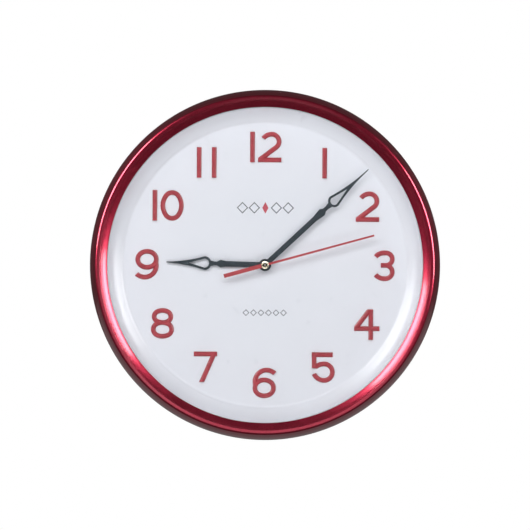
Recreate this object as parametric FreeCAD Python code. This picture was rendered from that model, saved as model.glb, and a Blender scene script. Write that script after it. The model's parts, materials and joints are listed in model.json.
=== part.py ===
import FreeCAD
import Part
import math
import os

from FreeCAD import Vector

os.makedirs("parts", exist_ok=True)

# Wall clock, 300 mm across. Millimetres. The front faces -Y, +Z is up and +X is to the right.
# "Depth" is measured forwards from the wall, so a point at depth d lies at y = -d.
# The hands' axis is x = 0, z = 0. Hand angles are degrees clockwise from twelve o'clock.

# ---------------------------------------------------------------- case
CASE_RADIUS = 150.0
CASE_DEPTH = 44.0
RIM_THICKNESS = 2.4
RIM_ROUND = 0.6
FLANK_START_DEPTH = 10.0
FLANK_MID_DROP = 17.0
FLANK_MID_INSET = 1.1
SHOULDER_INSET = 4.6
SHOULDER_DROP = 3.0
SHOULDER_MID_INSET = 5.35
SHOULDER_MID_DROP = 1.1
CREST_OUTER_INSET = 6.6
CREST_INNER_INSET = 8.9
CREST_INNER_DROP = 0.5
LIP_INSET = 15.1
LIP_DROP = 6.8
SLOPE_BOW = 0.35
LENS_THICKNESS = 2.0
LENS_OVERLAP = 4.1
LENS_CLEARANCE = 0.4
LENS_SEAT_DROP = 8.0
SKIRT_THICKNESS = 1.8
SKIRT_LENGTH = 10.0
CAVITY_TOP_DROP = 4.5

# ---------------------------------------------------------------- dial
DIAL_THICKNESS = 2.0
COVE_LIP_STEP = 0.7
COVE_WIDTH = 11.6
COVE_ROUND_WIDTH = 3.2
COVE_ROUND_MID_INSET = 1.3
COVE_ROUND_MID_RISE = 0.35
COVE_START_RISE = 1.3
COVE_BOW = 0.9
COVE_WALL = 1.5
FLANGE_THICKNESS = 2.0
COLLAR_RADIUS = 4.0
COLLAR_CLEARANCE = 0.25

# ---------------------------------------------------------------- rear cover and its screws
COVER_BACK_DEPTH = 3.0
COVER_THICKNESS = 2.0
COVER_CLEARANCE = 0.4
COVER_WALL_THICKNESS = 2.0
COVER_WALL_CLEARANCE = 0.3
WINDOW_CLEARANCE = 1.0
WINDOW_CORNER = 3.0
SCREW_COUNT = 6
SCREW_FIRST_ANGLE = 30.0
SCREW_INSET = 6.1
SCREW_SHANK_RADIUS = 1.45
SCREW_LENGTH = 12.0
SCREW_HEAD_RADIUS = 2.8
SCREW_HEAD_HEIGHT = 1.8
SCREW_SLOT_REACH = 0.7
SCREW_SLOT_WIDTH = 0.8
SCREW_SLOT_DEPTH = 0.8
SCREW_CLEARANCE = 0.1
SCREW_HOLE_RADIUS = 1.7
BOSS_RADIUS = 3.1
BOSS_TOP_DROP = 12.0
KEYHOLE_BELOW_WALL = 39.1
KEYHOLE_ENTRY_RADIUS = 5.0
KEYHOLE_SLOT_WIDTH = 4.6
KEYHOLE_SLOT_LENGTH = 11.0
KEYHOLE_RIB_WIDTH = 3.0
KEYHOLE_RIB_HEIGHT = 1.6
COVER_RIB_COUNT = 8
COVER_RIB_THICKNESS = 1.6
COVER_RIB_HEIGHT = 5.0
COVER_RIB_INNER_RADIUS = 58.0

# ---------------------------------------------------------------- numerals
NUMERAL_MARGIN = 18.9
TEN_INSET = 4.2
CAP_HEIGHT = 25.9
DIGIT_WIDTH = 19.8
FOUR_WIDTH = 21.6
STROKE = 4.0
STROKE_CREST = 1.6
STROKE_HEIGHT = 1.8
STROKE_EDGE_HEIGHT = 0.6
PAIR_BAR_OFFSET = 11.3
PAIR_ROUND_OFFSET = 3.4
ELEVEN_OFFSET = 6.4

# ---------------------------------------------------------------- hands
HAND_SHEET = 0.5
HOUR_ANGLE = 271.4
MINUTE_ANGLE = 46.9
SECOND_ANGLE = 74.5
NUMERAL_TO_HOUR_HAND = 0.5
HOUR_TO_MINUTE_HAND = 2.6
MINUTE_TO_SECOND_HAND = 2.5
PIPE_STAND_OUT = 0.5
HUB_RADIUS = 5.25
BUSH_WALL = 1.3
BUSH_LENGTH = 1.2
PRESS_CLEARANCE = 0.02

HOUR_SHAFT_WIDTH = 4.7
HOUR_COLLAR_WIDTH = 6.5
HOUR_FLARE = 4.6
HOUR_SHOULDER = 3.0
HOUR_NECK_WIDTH = 3.4
HOUR_LOOP_HALF_WIDTH = 5.9
HOUR_LOOP_WALL = 2.1
HOUR_SPEAR_MID_WIDTH = 4.5
HOUR_TIP_WIDTH = 1.0
HOUR_TIP_TO_NUMERALS = 3.55
HOUR_TIP_TO_COLLAR = 46.0
HOUR_TIP_TO_NECK = 41.0
HOUR_TIP_TO_LOOP = 32.4
HOUR_TIP_TO_APEX = 19.0
HOUR_TIP_TO_SPEAR_MID = 17.5

MINUTE_SHAFT_WIDTH = 4.5
MINUTE_COLLAR_WIDTH = 6.9
MINUTE_FLARE = 8.5
MINUTE_SHOULDER = 2.6
MINUTE_NECK_WIDTH = 3.3
MINUTE_LOOP_HALF_WIDTH = 5.3
MINUTE_LOOP_WALL = 2.0
MINUTE_SPEAR_MID_WIDTH = 3.9
MINUTE_TIP_WIDTH = 0.9
MINUTE_TIP_PAST_FLAT = 0.6
MINUTE_TIP_TO_COLLAR = 53.6
MINUTE_TIP_TO_NECK = 48.0
MINUTE_TIP_TO_LOOP = 39.6
MINUTE_TIP_TO_APEX = 24.8
MINUTE_TIP_TO_SPEAR_MID = 23.0

SECOND_WIDTH = 1.95
SECOND_TIP_WIDTH = 1.6
SECOND_TIP_INSET = 4.0
SECOND_TAIL_WIDTH = 3.4
SECOND_TAIL_LENGTH = 36.3
SECOND_HUB_RADIUS = 2.9
COLLET_RADIUS = 3.25
COLLET_RIM = 0.9
COLLET_CUP_DEPTH = 0.8
COLLET_TUBE_RADIUS = 1.4
COLLET_TUBE_LENGTH = 1.6
COLLET_END_GAP = 0.1

# ---------------------------------------------------------------- movement shells
MOVEMENT_SIZE = 56.0
MOVEMENT_WALL = 1.2
MOVEMENT_CORNER = 2.5
MOVEMENT_THICKNESS = 16.0
FRONT_PLATE = 1.4
REAR_PLATE = 1.2
SHELL_SPLIT_RISE = 8.0
MID_PLATE_RISE = 7.4
MID_PLATE_THICKNESS = 1.0
MID_PLATE_RIGHT = 16.4
MID_PLATE_CLEARANCE = 0.2
POST_RADIUS = 1.5
BAY_WALL = 1.0
BAY_WALL_GAP = 0.8
BAY_FLOOR = 0.9
LEDGE_WIDTH = 8.0
LEDGE_REACH = 1.2
LEDGE_RISE = 9.0
LEDGE_HEIGHT = 2.0
CLIP_THICKNESS = 1.5
CLIP_WIDTH = 10.0
CLIP_GAP = 0.2
CLIP_HOOK_HEIGHT = 1.5

# ---------------------------------------------------------------- arbors and bearings
BEARING_CLEARANCE = 0.05
BEARING_BOSS = 1.2
SECOND_ARBOR_RADIUS = 0.5
CANNON_RADIUS = 1.75
HOUR_PIPE_RADIUS = 2.5
THIRD_ARBOR_RADIUS = 0.45
STEP_ARBOR_RADIUS = 0.4
ROTOR_ARBOR_RADIUS = 0.35
KNOB_ARBOR_RADIUS = 0.8

# ---------------------------------------------------------------- wheels
MOTION_MODULE = 0.35
CANNON_TEETH = 15
MINUTE_WHEEL_TEETH = 45
MINUTE_PINION_TEETH = 12
HOUR_WHEEL_TEETH = 48
SECOND_PINION_TEETH = 8
THIRD_WHEEL_TEETH = 60
THIRD_PINION_TEETH = 8
CENTRE_WHEEL_TEETH = 64
THIRD_MODULE = 0.30
SECOND_WHEEL_TEETH = 40
STEP_PINION_TEETH = 8
SECOND_MODULE = 0.30
STEP_WHEEL_TEETH = 48
ROTOR_PINION_TEETH = 8
STEP_MODULE = 0.25
WHEEL_ADDENDUM = 0.75
DEDENDUM = 1.15
TOOTH_AT_ROOT = 1.30
TOOTH_AT_TIP = 0.55
WHEEL_SHEET = 0.8
MESH_OVERHANG = 0.2
MINUTE_WHEEL_ANGLE = 180.0
THIRD_ANGLE = 90.0
STEP_ANGLE = 10.0
ROTOR_ANGLE = -10.0
STEP_WHEEL_RISE = 2.4
SECOND_WHEEL_RISE = 4.0
THIRD_WHEEL_RISE = 5.8
CENTRE_WHEEL_RISE = 9.2
MINUTE_WHEEL_RISE = 10.8
HOUR_WHEEL_RISE = 12.4
KNOB_RADIUS = 4.5
KNOB_GAP = 0.2
KNOB_THICKNESS = 2.2
KNOB_FLUTES = 18
KNOB_FLUTE_RADIUS = 0.45
KNOB_SLOT_WIDTH = 1.0
KNOB_SLOT_DEPTH = 0.8

# ---------------------------------------------------------------- stepping motor and circuit
MAGNET_RADIUS = 2.5
MAGNET_RISE = 4.2
MAGNET_LENGTH = 2.6
STATOR_RISE = 5.1
STATOR_SHEET = 1.0
STATOR_HOLE_GAP = 0.5
STATOR_SLIT = 0.5
STATOR_LEFT = 10.0
STATOR_RIGHT = 25.0
STATOR_BODY_RIGHT = 16.8
STATOR_HALF_HEIGHT = 5.0
STATOR_ARM_WIDTH = 3.0
STATOR_BOTTOM = -10.2
STATOR_TOP = 12.2
COIL_X = 21.0
CORE_WIDTH = 3.0
CORE_SHEET = 1.0
BOBBIN_WALL = 0.5
BOBBIN_RADIUS = 4.0
BOBBIN_FLANGE = 0.8
BOBBIN_BOTTOM = -6.6
BOBBIN_TOP = 8.6
WINDING_INSET = 0.4
CORE_CLEARANCE = 0.05
BOARD_SIDE_GAP = 0.7
BOARD_TOP_GAP = 0.8
BOARD_LENGTH = 16.5
BOARD_HEIGHT = 12.5
BOARD_THICKNESS = 1.0
CHIP_INSET = 4.9
CHIP_LIFT = 7.0
CHIP_RADIUS = 2.6
CHIP_CREST_RADIUS = 1.4
CHIP_HEIGHT = 1.1
CRYSTAL_RADIUS = 1.0
CRYSTAL_LENGTH = 6.0
CRYSTAL_INSET = 9.0
CRYSTAL_LIFT = 4.5
CONTACT_SHEET = 0.4
CONTACT_WALL_GAP = 0.1
CONTACT_HALF_HEIGHT = 5.2
CONTACT_WIDTH = 7.0
STRIP_WIDTH = 1.6
STRIP_RISE = 5.6
TAB_LENGTH = 2.2

# ---------------------------------------------------------------- AA cell
CELL_RADIUS = 7.25
CELL_LENGTH = 50.5
CELL_NUB_RADIUS = 2.75
CELL_NUB_LENGTH = 1.2
CELL_EDGE = 0.4
CELL_CONTACT_GAP = 0.05
CELL_BAY_GAP = 0.35
CELL_WALL_GAP = 0.25

# ---------------------------------------------------------------- places that follow from the sizes
LIP_RADIUS = CASE_RADIUS - LIP_INSET
LIP_DEPTH = CASE_DEPTH - LIP_DROP
LENS_RADIUS = LIP_RADIUS + LENS_OVERLAP
LENS_SEAT_DEPTH = CASE_DEPTH - LENS_SEAT_DROP
LENS_BACK_DEPTH = LENS_SEAT_DEPTH - LENS_THICKNESS
SKIRT_INNER_RADIUS = LENS_RADIUS + LENS_CLEARANCE
SKIRT_OUTER_RADIUS = SKIRT_INNER_RADIUS + SKIRT_THICKNESS
SKIRT_END_DEPTH = LENS_SEAT_DEPTH - SKIRT_LENGTH
COVER_FRONT_DEPTH = COVER_BACK_DEPTH + COVER_THICKNESS
MOVEMENT_BACK_DEPTH = COVER_BACK_DEPTH
DIAL_BACK_DEPTH = MOVEMENT_BACK_DEPTH + MOVEMENT_THICKNESS
DIAL_FRONT_DEPTH = DIAL_BACK_DEPTH + DIAL_THICKNESS
COVE_TOP_RADIUS = LIP_RADIUS - COVE_LIP_STEP
COVE_START_RADIUS = COVE_TOP_RADIUS - COVE_WIDTH
DIAL_FLAT_RADIUS = COVE_START_RADIUS - COVE_ROUND_WIDTH
NUMERAL_CIRCLE_RADIUS = DIAL_FLAT_RADIUS - NUMERAL_MARGIN

HOUR_HAND_DEPTH = DIAL_FRONT_DEPTH + STROKE_HEIGHT + NUMERAL_TO_HOUR_HAND
MINUTE_HAND_DEPTH = HOUR_HAND_DEPTH + HAND_SHEET + HOUR_TO_MINUTE_HAND
SECOND_HAND_DEPTH = MINUTE_HAND_DEPTH + HAND_SHEET + MINUTE_TO_SECOND_HAND
HOUR_PIPE_END_DEPTH = HOUR_HAND_DEPTH + HAND_SHEET + PIPE_STAND_OUT
CANNON_END_DEPTH = MINUTE_HAND_DEPTH + HAND_SHEET + PIPE_STAND_OUT
COLLET_FRONT_DEPTH = SECOND_HAND_DEPTH + HAND_SHEET + COLLET_CUP_DEPTH
COLLET_FLOOR_DEPTH = COLLET_FRONT_DEPTH - COLLET_CUP_DEPTH / 2
SECOND_ARBOR_END_DEPTH = COLLET_FLOOR_DEPTH - COLLET_END_GAP
HOUR_LENGTH = NUMERAL_CIRCLE_RADIUS - CAP_HEIGHT / 2 - HOUR_TIP_TO_NUMERALS
MINUTE_LENGTH = DIAL_FLAT_RADIUS + MINUTE_TIP_PAST_FLAT
SECOND_LENGTH = NUMERAL_CIRCLE_RADIUS - SECOND_TIP_INSET

SHELL_SPLIT_DEPTH = MOVEMENT_BACK_DEPTH + SHELL_SPLIT_RISE
MID_PLATE_DEPTH = MOVEMENT_BACK_DEPTH + MID_PLATE_RISE
LEDGE_DEPTH = MOVEMENT_BACK_DEPTH + LEDGE_RISE
STEP_WHEEL_DEPTH = MOVEMENT_BACK_DEPTH + STEP_WHEEL_RISE
SECOND_WHEEL_DEPTH = MOVEMENT_BACK_DEPTH + SECOND_WHEEL_RISE
THIRD_WHEEL_DEPTH = MOVEMENT_BACK_DEPTH + THIRD_WHEEL_RISE
CENTRE_WHEEL_DEPTH = MOVEMENT_BACK_DEPTH + CENTRE_WHEEL_RISE
MINUTE_WHEEL_DEPTH = MOVEMENT_BACK_DEPTH + MINUTE_WHEEL_RISE
HOUR_WHEEL_DEPTH = MOVEMENT_BACK_DEPTH + HOUR_WHEEL_RISE
KNOB_BACK_DEPTH = MOVEMENT_BACK_DEPTH - KNOB_GAP - KNOB_THICKNESS
MAGNET_DEPTH = MOVEMENT_BACK_DEPTH + MAGNET_RISE
STATOR_DEPTH = MOVEMENT_BACK_DEPTH + STATOR_RISE
STRIP_DEPTH = MOVEMENT_BACK_DEPTH + STRIP_RISE
MOVEMENT_INNER_HALF = MOVEMENT_SIZE / 2 - MOVEMENT_WALL
BAY_TOP = -MOVEMENT_INNER_HALF + CELL_WALL_GAP + 2 * CELL_RADIUS + CELL_BAY_GAP
BOARD_RIGHT = MOVEMENT_INNER_HALF - BOARD_SIDE_GAP
BOARD_LEFT = BOARD_RIGHT - BOARD_LENGTH
BOARD_TOP = MOVEMENT_INNER_HALF - BOARD_TOP_GAP
BOARD_BOTTOM = BOARD_TOP - BOARD_HEIGHT


# ---------------------------------------------------------------- helpers
def section_point(radius, depth):
    return Vector(radius, -depth, 0)


def front_point(x, z, depth):
    return Vector(x, -depth, z)


def turned(start, *steps):
    """A solid turned about the hands' axis. Steps are (radius, depth) or (mid, mid, radius, depth)."""
    edges = []
    first = section_point(*start)
    here = first
    for step in steps:
        end = section_point(*step[-2:])
        if len(step) == 4:
            edges.append(Part.Arc(here, section_point(*step[:2]), end).toShape())
        else:
            edges.append(Part.LineSegment(here, end).toShape())
        here = end
    edges.append(Part.LineSegment(here, first).toShape())
    face = Part.Face(Part.Wire(edges))
    return face.revolve(Vector(0, 0, 0), Vector(0, 1, 0), 360)


def disc(radius, near, far, x=0.0, z=0.0):
    """A cylinder along the clock's depth, from depth near to depth far."""
    return Part.makeCylinder(radius, far - near, front_point(x, z, near), Vector(0, -1, 0))


def block(left, right, near, far, bottom, top):
    corner = Vector(left, -far, bottom)
    return Part.makeBox(right - left, far - near, top - bottom, corner)


def plate(points, near, far):
    """A flat plate with a straight-sided outline, from depth near to depth far."""
    corners = [front_point(x, z, near) for x, z in points]
    face = Part.Face(Part.makePolygon(corners + corners[:1]))
    return face.extrude(Vector(0, near - far, 0))


def rounded_block(half, near, far, corner):
    """A square block centred on the hands' axis with rounded corners."""
    body = block(-half, half, near, far, -half, half)
    along = [e for e in body.Edges if abs(e.Vertexes[0].Y - e.Vertexes[1].Y) > (far - near) / 2]
    return body.makeFillet(corner, along)


def turn_hand(shape, angle):
    turned_shape = shape.copy()
    turned_shape.rotate(Vector(0, 0, 0), Vector(0, 1, 0), angle)
    return turned_shape


def polar(radius, degrees):
    """Front-view x and z of a point, with degrees measured anticlockwise from three o'clock."""
    return (
        radius * math.cos(math.radians(degrees)),
        radius * math.sin(math.radians(degrees)),
    )


def fuse_all(shapes):
    first = shapes[0]
    if len(shapes) == 1:
        return first
    return first.fuse(shapes[1:]).removeSplitter()


def cut_all(body, tools):
    return body.cut(tools).removeSplitter()


def export(name, shape):
    if shape.ShapeType == "Compound" and len(shape.Solids) == 1:
        shape = shape.Solids[0]
    print(name, len(shape.Solids), round(shape.Volume, 2), shape.isValid())
    shape.exportStep("parts/" + name + ".step")


# ---------------------------------------------------------------- bezel
def flank(inset, start, finish_radius, finish_depth):
    """One side of the bulging flank, inset from the outer surface."""
    middle = (CASE_RADIUS - FLANK_MID_INSET - inset, CASE_DEPTH - FLANK_MID_DROP)
    return (middle[0], middle[1], finish_radius, finish_depth)


SHOULDER_RADIUS = CASE_RADIUS - SHOULDER_INSET
SHOULDER_DEPTH = CASE_DEPTH - SHOULDER_DROP
CREST_INNER_RADIUS = CASE_RADIUS - CREST_INNER_INSET
CREST_INNER_DEPTH = CASE_DEPTH - CREST_INNER_DROP
CAVITY_TOP_DEPTH = CASE_DEPTH - CAVITY_TOP_DROP
CAVITY_TOP_RADIUS = SHOULDER_RADIUS - RIM_THICKNESS

bezel = turned(
    (CASE_RADIUS - RIM_THICKNESS, 0),
    (CASE_RADIUS - RIM_ROUND, 0),
    (CASE_RADIUS, RIM_ROUND),
    (CASE_RADIUS, FLANK_START_DEPTH),
    flank(0, FLANK_START_DEPTH, SHOULDER_RADIUS, SHOULDER_DEPTH),
    (
        CASE_RADIUS - SHOULDER_MID_INSET,
        CASE_DEPTH - SHOULDER_MID_DROP,
        CASE_RADIUS - CREST_OUTER_INSET,
        CASE_DEPTH,
    ),
    (CREST_INNER_RADIUS, CREST_INNER_DEPTH),
    (
        (CREST_INNER_RADIUS + LIP_RADIUS) / 2 + SLOPE_BOW,
        (CREST_INNER_DEPTH + LIP_DEPTH) / 2 - SLOPE_BOW,
        LIP_RADIUS,
        LIP_DEPTH,
    ),
    (LIP_RADIUS, LENS_SEAT_DEPTH),
    (SKIRT_INNER_RADIUS, LENS_SEAT_DEPTH),
    (SKIRT_INNER_RADIUS, SKIRT_END_DEPTH),
    (SKIRT_OUTER_RADIUS, SKIRT_END_DEPTH),
    (SKIRT_OUTER_RADIUS, CAVITY_TOP_DEPTH),
    (CAVITY_TOP_RADIUS, CAVITY_TOP_DEPTH),
    flank(RIM_THICKNESS, CAVITY_TOP_DEPTH, CASE_RADIUS - RIM_THICKNESS, FLANK_START_DEPTH),
)

screw_angles = [SCREW_FIRST_ANGLE + 360.0 / SCREW_COUNT * i for i in range(SCREW_COUNT)]
screw_places = [polar(CASE_RADIUS - SCREW_INSET, a) for a in screw_angles]
SCREW_TIP_DEPTH = COVER_BACK_DEPTH + SCREW_LENGTH
boss_top = CASE_DEPTH - BOSS_TOP_DROP
bosses = [disc(BOSS_RADIUS, COVER_FRONT_DEPTH, boss_top, x, z) for x, z in screw_places]
pilots = [
    disc(
        SCREW_SHANK_RADIUS + SCREW_CLEARANCE,
        COVER_FRONT_DEPTH,
        SCREW_TIP_DEPTH + SCREW_CLEARANCE,
        x,
        z,
    )
    for x, z in screw_places
]
bezel = cut_all(fuse_all([bezel] + bosses), pilots)
export("bezel_ring", bezel)

lens = disc(LENS_RADIUS, LENS_BACK_DEPTH, LENS_SEAT_DEPTH)
export("front_lens", lens)

# ---------------------------------------------------------------- dial tray
FLANGE_BACK_DEPTH = LENS_BACK_DEPTH - FLANGE_THICKNESS
COLLAR_HOLE_RADIUS = COLLAR_RADIUS + COLLAR_CLEARANCE
COVE_START_DEPTH = DIAL_FRONT_DEPTH + COVE_START_RISE
cove_mid_radius = (COVE_START_RADIUS + COVE_TOP_RADIUS) / 2 + COVE_BOW
cove_mid_depth = (COVE_START_DEPTH + LENS_BACK_DEPTH) / 2 - COVE_BOW
cove_back_radius = COVE_TOP_RADIUS + COVE_WALL

dial = turned(
    (COLLAR_HOLE_RADIUS, DIAL_BACK_DEPTH),
    (COLLAR_HOLE_RADIUS, DIAL_FRONT_DEPTH),
    (DIAL_FLAT_RADIUS, DIAL_FRONT_DEPTH),
    (
        COVE_START_RADIUS - COVE_ROUND_MID_INSET,
        DIAL_FRONT_DEPTH + COVE_ROUND_MID_RISE,
        COVE_START_RADIUS,
        COVE_START_DEPTH,
    ),
    (cove_mid_radius, cove_mid_depth, COVE_TOP_RADIUS, LENS_BACK_DEPTH),
    (LENS_RADIUS, LENS_BACK_DEPTH),
    (LENS_RADIUS, FLANGE_BACK_DEPTH),
    (cove_back_radius, FLANGE_BACK_DEPTH),
    (
        cove_mid_radius + COVE_WALL,
        cove_mid_depth - COVE_WALL,
        COVE_START_RADIUS + COVE_WALL,
        DIAL_BACK_DEPTH,
    ),
)

half_movement = MOVEMENT_SIZE / 2
ledge_end = half_movement + LEDGE_REACH
clip_inner = ledge_end + CLIP_GAP
clip_outer = clip_inner + CLIP_THICKNESS
hook_top_depth = LEDGE_DEPTH - CLIP_GAP / 2
hook_tail_depth = hook_top_depth - CLIP_HOOK_HEIGHT
arm = block(-CLIP_WIDTH / 2, CLIP_WIDTH / 2, hook_tail_depth, DIAL_BACK_DEPTH, clip_inner, clip_outer)
hook = block(
    -CLIP_WIDTH / 2,
    CLIP_WIDTH / 2,
    hook_tail_depth,
    hook_top_depth,
    half_movement + CLIP_GAP,
    clip_inner,
)
clip = arm.fuse(hook)
dial = fuse_all([dial, clip, turn_hand(clip, 180)])
export("dial_tray", dial)

# ---------------------------------------------------------------- rear cover
COVER_RADIUS = CASE_RADIUS - RIM_THICKNESS - COVER_CLEARANCE
COVER_WALL_OUTER = SKIRT_INNER_RADIUS - COVER_WALL_CLEARANCE
COVER_WALL_INNER = COVER_WALL_OUTER - COVER_WALL_THICKNESS
KEYHOLE_HEIGHT = COVER_WALL_INNER - KEYHOLE_BELOW_WALL
cover = disc(COVER_RADIUS, COVER_BACK_DEPTH, COVER_FRONT_DEPTH)
cover_wall = disc(COVER_WALL_OUTER, COVER_FRONT_DEPTH, FLANGE_BACK_DEPTH)
cover_wall = cover_wall.cut(disc(COVER_WALL_INNER, COVER_FRONT_DEPTH, FLANGE_BACK_DEPTH))
keyhole_rib = disc(
    KEYHOLE_ENTRY_RADIUS + KEYHOLE_RIB_WIDTH,
    COVER_FRONT_DEPTH,
    COVER_FRONT_DEPTH + KEYHOLE_RIB_HEIGHT,
    0,
    KEYHOLE_HEIGHT,
)
slot_half = KEYHOLE_SLOT_WIDTH / 2
slot_rib = block(
    -slot_half - KEYHOLE_RIB_WIDTH,
    slot_half + KEYHOLE_RIB_WIDTH,
    COVER_FRONT_DEPTH,
    COVER_FRONT_DEPTH + KEYHOLE_RIB_HEIGHT,
    KEYHOLE_HEIGHT,
    KEYHOLE_HEIGHT + KEYHOLE_SLOT_LENGTH + KEYHOLE_RIB_WIDTH,
)
ribs = []
for i in range(COVER_RIB_COUNT):
    rib_angle = 360.0 / COVER_RIB_COUNT * (i + 0.5)
    rib = block(
        COVER_RIB_INNER_RADIUS,
        COVER_WALL_OUTER - COVER_WALL_THICKNESS / 2,
        COVER_FRONT_DEPTH,
        COVER_FRONT_DEPTH + COVER_RIB_HEIGHT,
        -COVER_RIB_THICKNESS / 2,
        COVER_RIB_THICKNESS / 2,
    )
    ribs.append(turn_hand(rib, rib_angle))
cover = fuse_all([cover, cover_wall, keyhole_rib, slot_rib] + ribs)

keyhole_top_depth = COVER_FRONT_DEPTH + KEYHOLE_RIB_HEIGHT
openings = [
    rounded_block(
        half_movement + WINDOW_CLEARANCE, COVER_BACK_DEPTH, COVER_FRONT_DEPTH, WINDOW_CORNER
    ),
    disc(KEYHOLE_ENTRY_RADIUS, COVER_BACK_DEPTH, keyhole_top_depth, 0, KEYHOLE_HEIGHT),
    block(
        -slot_half,
        slot_half,
        COVER_BACK_DEPTH,
        keyhole_top_depth,
        KEYHOLE_HEIGHT,
        KEYHOLE_HEIGHT + KEYHOLE_SLOT_LENGTH,
    ),
    disc(
        slot_half,
        COVER_BACK_DEPTH,
        keyhole_top_depth,
        0,
        KEYHOLE_HEIGHT + KEYHOLE_SLOT_LENGTH,
    ),
]
for x, z in screw_places:
    openings.append(disc(SCREW_HOLE_RADIUS, COVER_BACK_DEPTH, COVER_FRONT_DEPTH, x, z))
cover = cut_all(cover, openings)
export("rear_cover", cover)

# ---------------------------------------------------------------- case screws
screws = []
for x, z in screw_places:
    head_back = COVER_BACK_DEPTH - SCREW_HEAD_HEIGHT
    head = disc(SCREW_HEAD_RADIUS, head_back, COVER_BACK_DEPTH, x, z)
    shank = disc(SCREW_SHANK_RADIUS, COVER_BACK_DEPTH, SCREW_TIP_DEPTH, x, z)
    slot_depth = head_back + SCREW_SLOT_DEPTH
    half_slot = SCREW_SLOT_WIDTH / 2
    reach = SCREW_HEAD_RADIUS * SCREW_SLOT_REACH
    across = block(x - reach, x + reach, head_back, slot_depth, z - half_slot, z + half_slot)
    upright = block(x - half_slot, x + half_slot, head_back, slot_depth, z - reach, z + reach)
    screws.append(cut_all(head.fuse(shank), [across, upright]))
export("case_screws", Part.makeCompound([s.Solids[0] for s in screws]))

# ---------------------------------------------------------------- numerals
HALF_CAP = CAP_HEIGHT / 2
LINE_TOP = HALF_CAP - STROKE / 2
LINE_SIDE = (DIGIT_WIDTH - STROKE) / 2


def stroke_face(x, z, side_x, side_z):
    """The ridge section of a stroke at a point; side is the direction across the stroke."""
    half = STROKE / 2
    crest = STROKE_CREST / 2
    outline = [
        (-half, 0),
        (half, 0),
        (half, STROKE_EDGE_HEIGHT),
        (crest, STROKE_HEIGHT),
        (-crest, STROKE_HEIGHT),
        (-half, STROKE_EDGE_HEIGHT),
    ]
    corners = [
        front_point(x + side_x * across, z + side_z * across, DIAL_FRONT_DEPTH + rise)
        for across, rise in outline
    ]
    return Part.Face(Part.makePolygon(corners + corners[:1]))


def bar(x1, z1, x2, z2):
    length = math.hypot(x2 - x1, z2 - z1)
    side_x = (z2 - z1) / length
    side_z = -(x2 - x1) / length
    return stroke_face(x1, z1, side_x, side_z).extrude(Vector(x2 - x1, 0, z2 - z1))


def bow(x, z, radius, start, finish):
    """A curved stroke about x, z; angles are anticlockwise from three o'clock."""
    side_x = math.cos(math.radians(start))
    side_z = math.sin(math.radians(start))
    face = stroke_face(x + radius * side_x, z + radius * side_z, side_x, side_z)
    return face.revolve(front_point(x, z, 0), Vector(0, -1, 0), finish - start)


def clipped(strokes, half_width):
    frame = block(
        -half_width,
        half_width,
        DIAL_FRONT_DEPTH,
        DIAL_FRONT_DEPTH + STROKE_HEIGHT,
        -HALF_CAP,
        HALF_CAP,
    )
    return fuse_all(strokes).common(frame)


def oval(x, z, half_width, half_height, roundness):
    """A four-arc oval stroke; roundness is its end radius as a share of its smaller half."""
    tall = half_height > half_width
    long_half = max(half_width, half_height)
    short_half = min(half_width, half_height)
    end_radius = roundness * short_half
    offset = long_half - end_radius
    side_radius = (short_half**2 + offset**2 - end_radius**2) / (2 * (short_half - end_radius))
    lean = math.degrees(math.atan2(offset, side_radius - short_half))
    turn = 90.0 if tall else 0.0
    arcs = []
    for k in (0, 1):
        end_x, end_z = polar(offset, turn + 180 * k)
        spread = 90 - lean
        middle = turn + 180 * k
        arcs.append(bow(x + end_x, z + end_z, end_radius, middle - spread, middle + spread))
        side_x, side_z = polar(side_radius - short_half, turn + 90 + 180 * k)
        middle = turn - 90 + 180 * k
        arcs.append(bow(x + side_x, z + side_z, side_radius, middle - lean, middle + lean))
    return arcs


def meeting_angle(x, z, radius, to_x, to_z):
    """Where a line from a point touches an arc that is being followed clockwise."""
    reach = math.hypot(to_x - x, to_z - z)
    bearing = math.degrees(math.atan2(to_z - z, to_x - x))
    return bearing + math.degrees(math.acos(radius / reach))


TOP_BOW_RADIUS = 0.84 * LINE_TOP
LOBE_RADIUS = 0.785 * LINE_SIDE
TWO_TERMINAL = 142.0
BASE_CORNER_LIFT = 0.6
DIAGONAL_OVERRUN = 1.35
THREE_UPPER_RADIUS = 0.484 * LINE_TOP
THREE_TERMINAL = 140.0
THREE_TOP_X = 0.8
THREE_BAR_START = -1.8
FOUR_STEM_X = 3.4
FOUR_BAR_Z = -3.4
FOUR_APEX_X = 4.2
FIVE_BOWL_RADIUS = 0.64 * LINE_TOP
FIVE_BOWL_X = 0.7
FIVE_SHOULDER_RADIUS = 12.0
FIVE_SHOULDER_END = 129.0
FIVE_FOOT_RADIUS = 9.5
FIVE_TERMINAL = 205.0
FIVE_STEM_FOOT = -0.6
SIX_BOWL_HALF_HEIGHT = 0.6165 * LINE_TOP
SIX_BOWL_ROUNDNESS = 0.933
SIX_SPINE_RADIUS = 0.904 * LINE_TOP
SIX_TERMINAL = 46.0
SIX_SPINE_END = 205.0
SEVEN_FOOT_X = -3.1
SEVEN_TOP_X = 8.1
SEVEN_OVERRUN = 0.2
EIGHT_UPPER_HALF_WIDTH = 7.1
EIGHT_UPPER_HALF_HEIGHT = 0.47 * LINE_TOP
EIGHT_UPPER_ROUNDNESS = 0.893
EIGHT_LOWER_HALF_WIDTH = 7.8
EIGHT_LOWER_ROUNDNESS = 0.914
ZERO_ROUNDNESS = 0.81


def digit_one():
    return [bar(0, -HALF_CAP, 0, HALF_CAP)]


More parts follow.
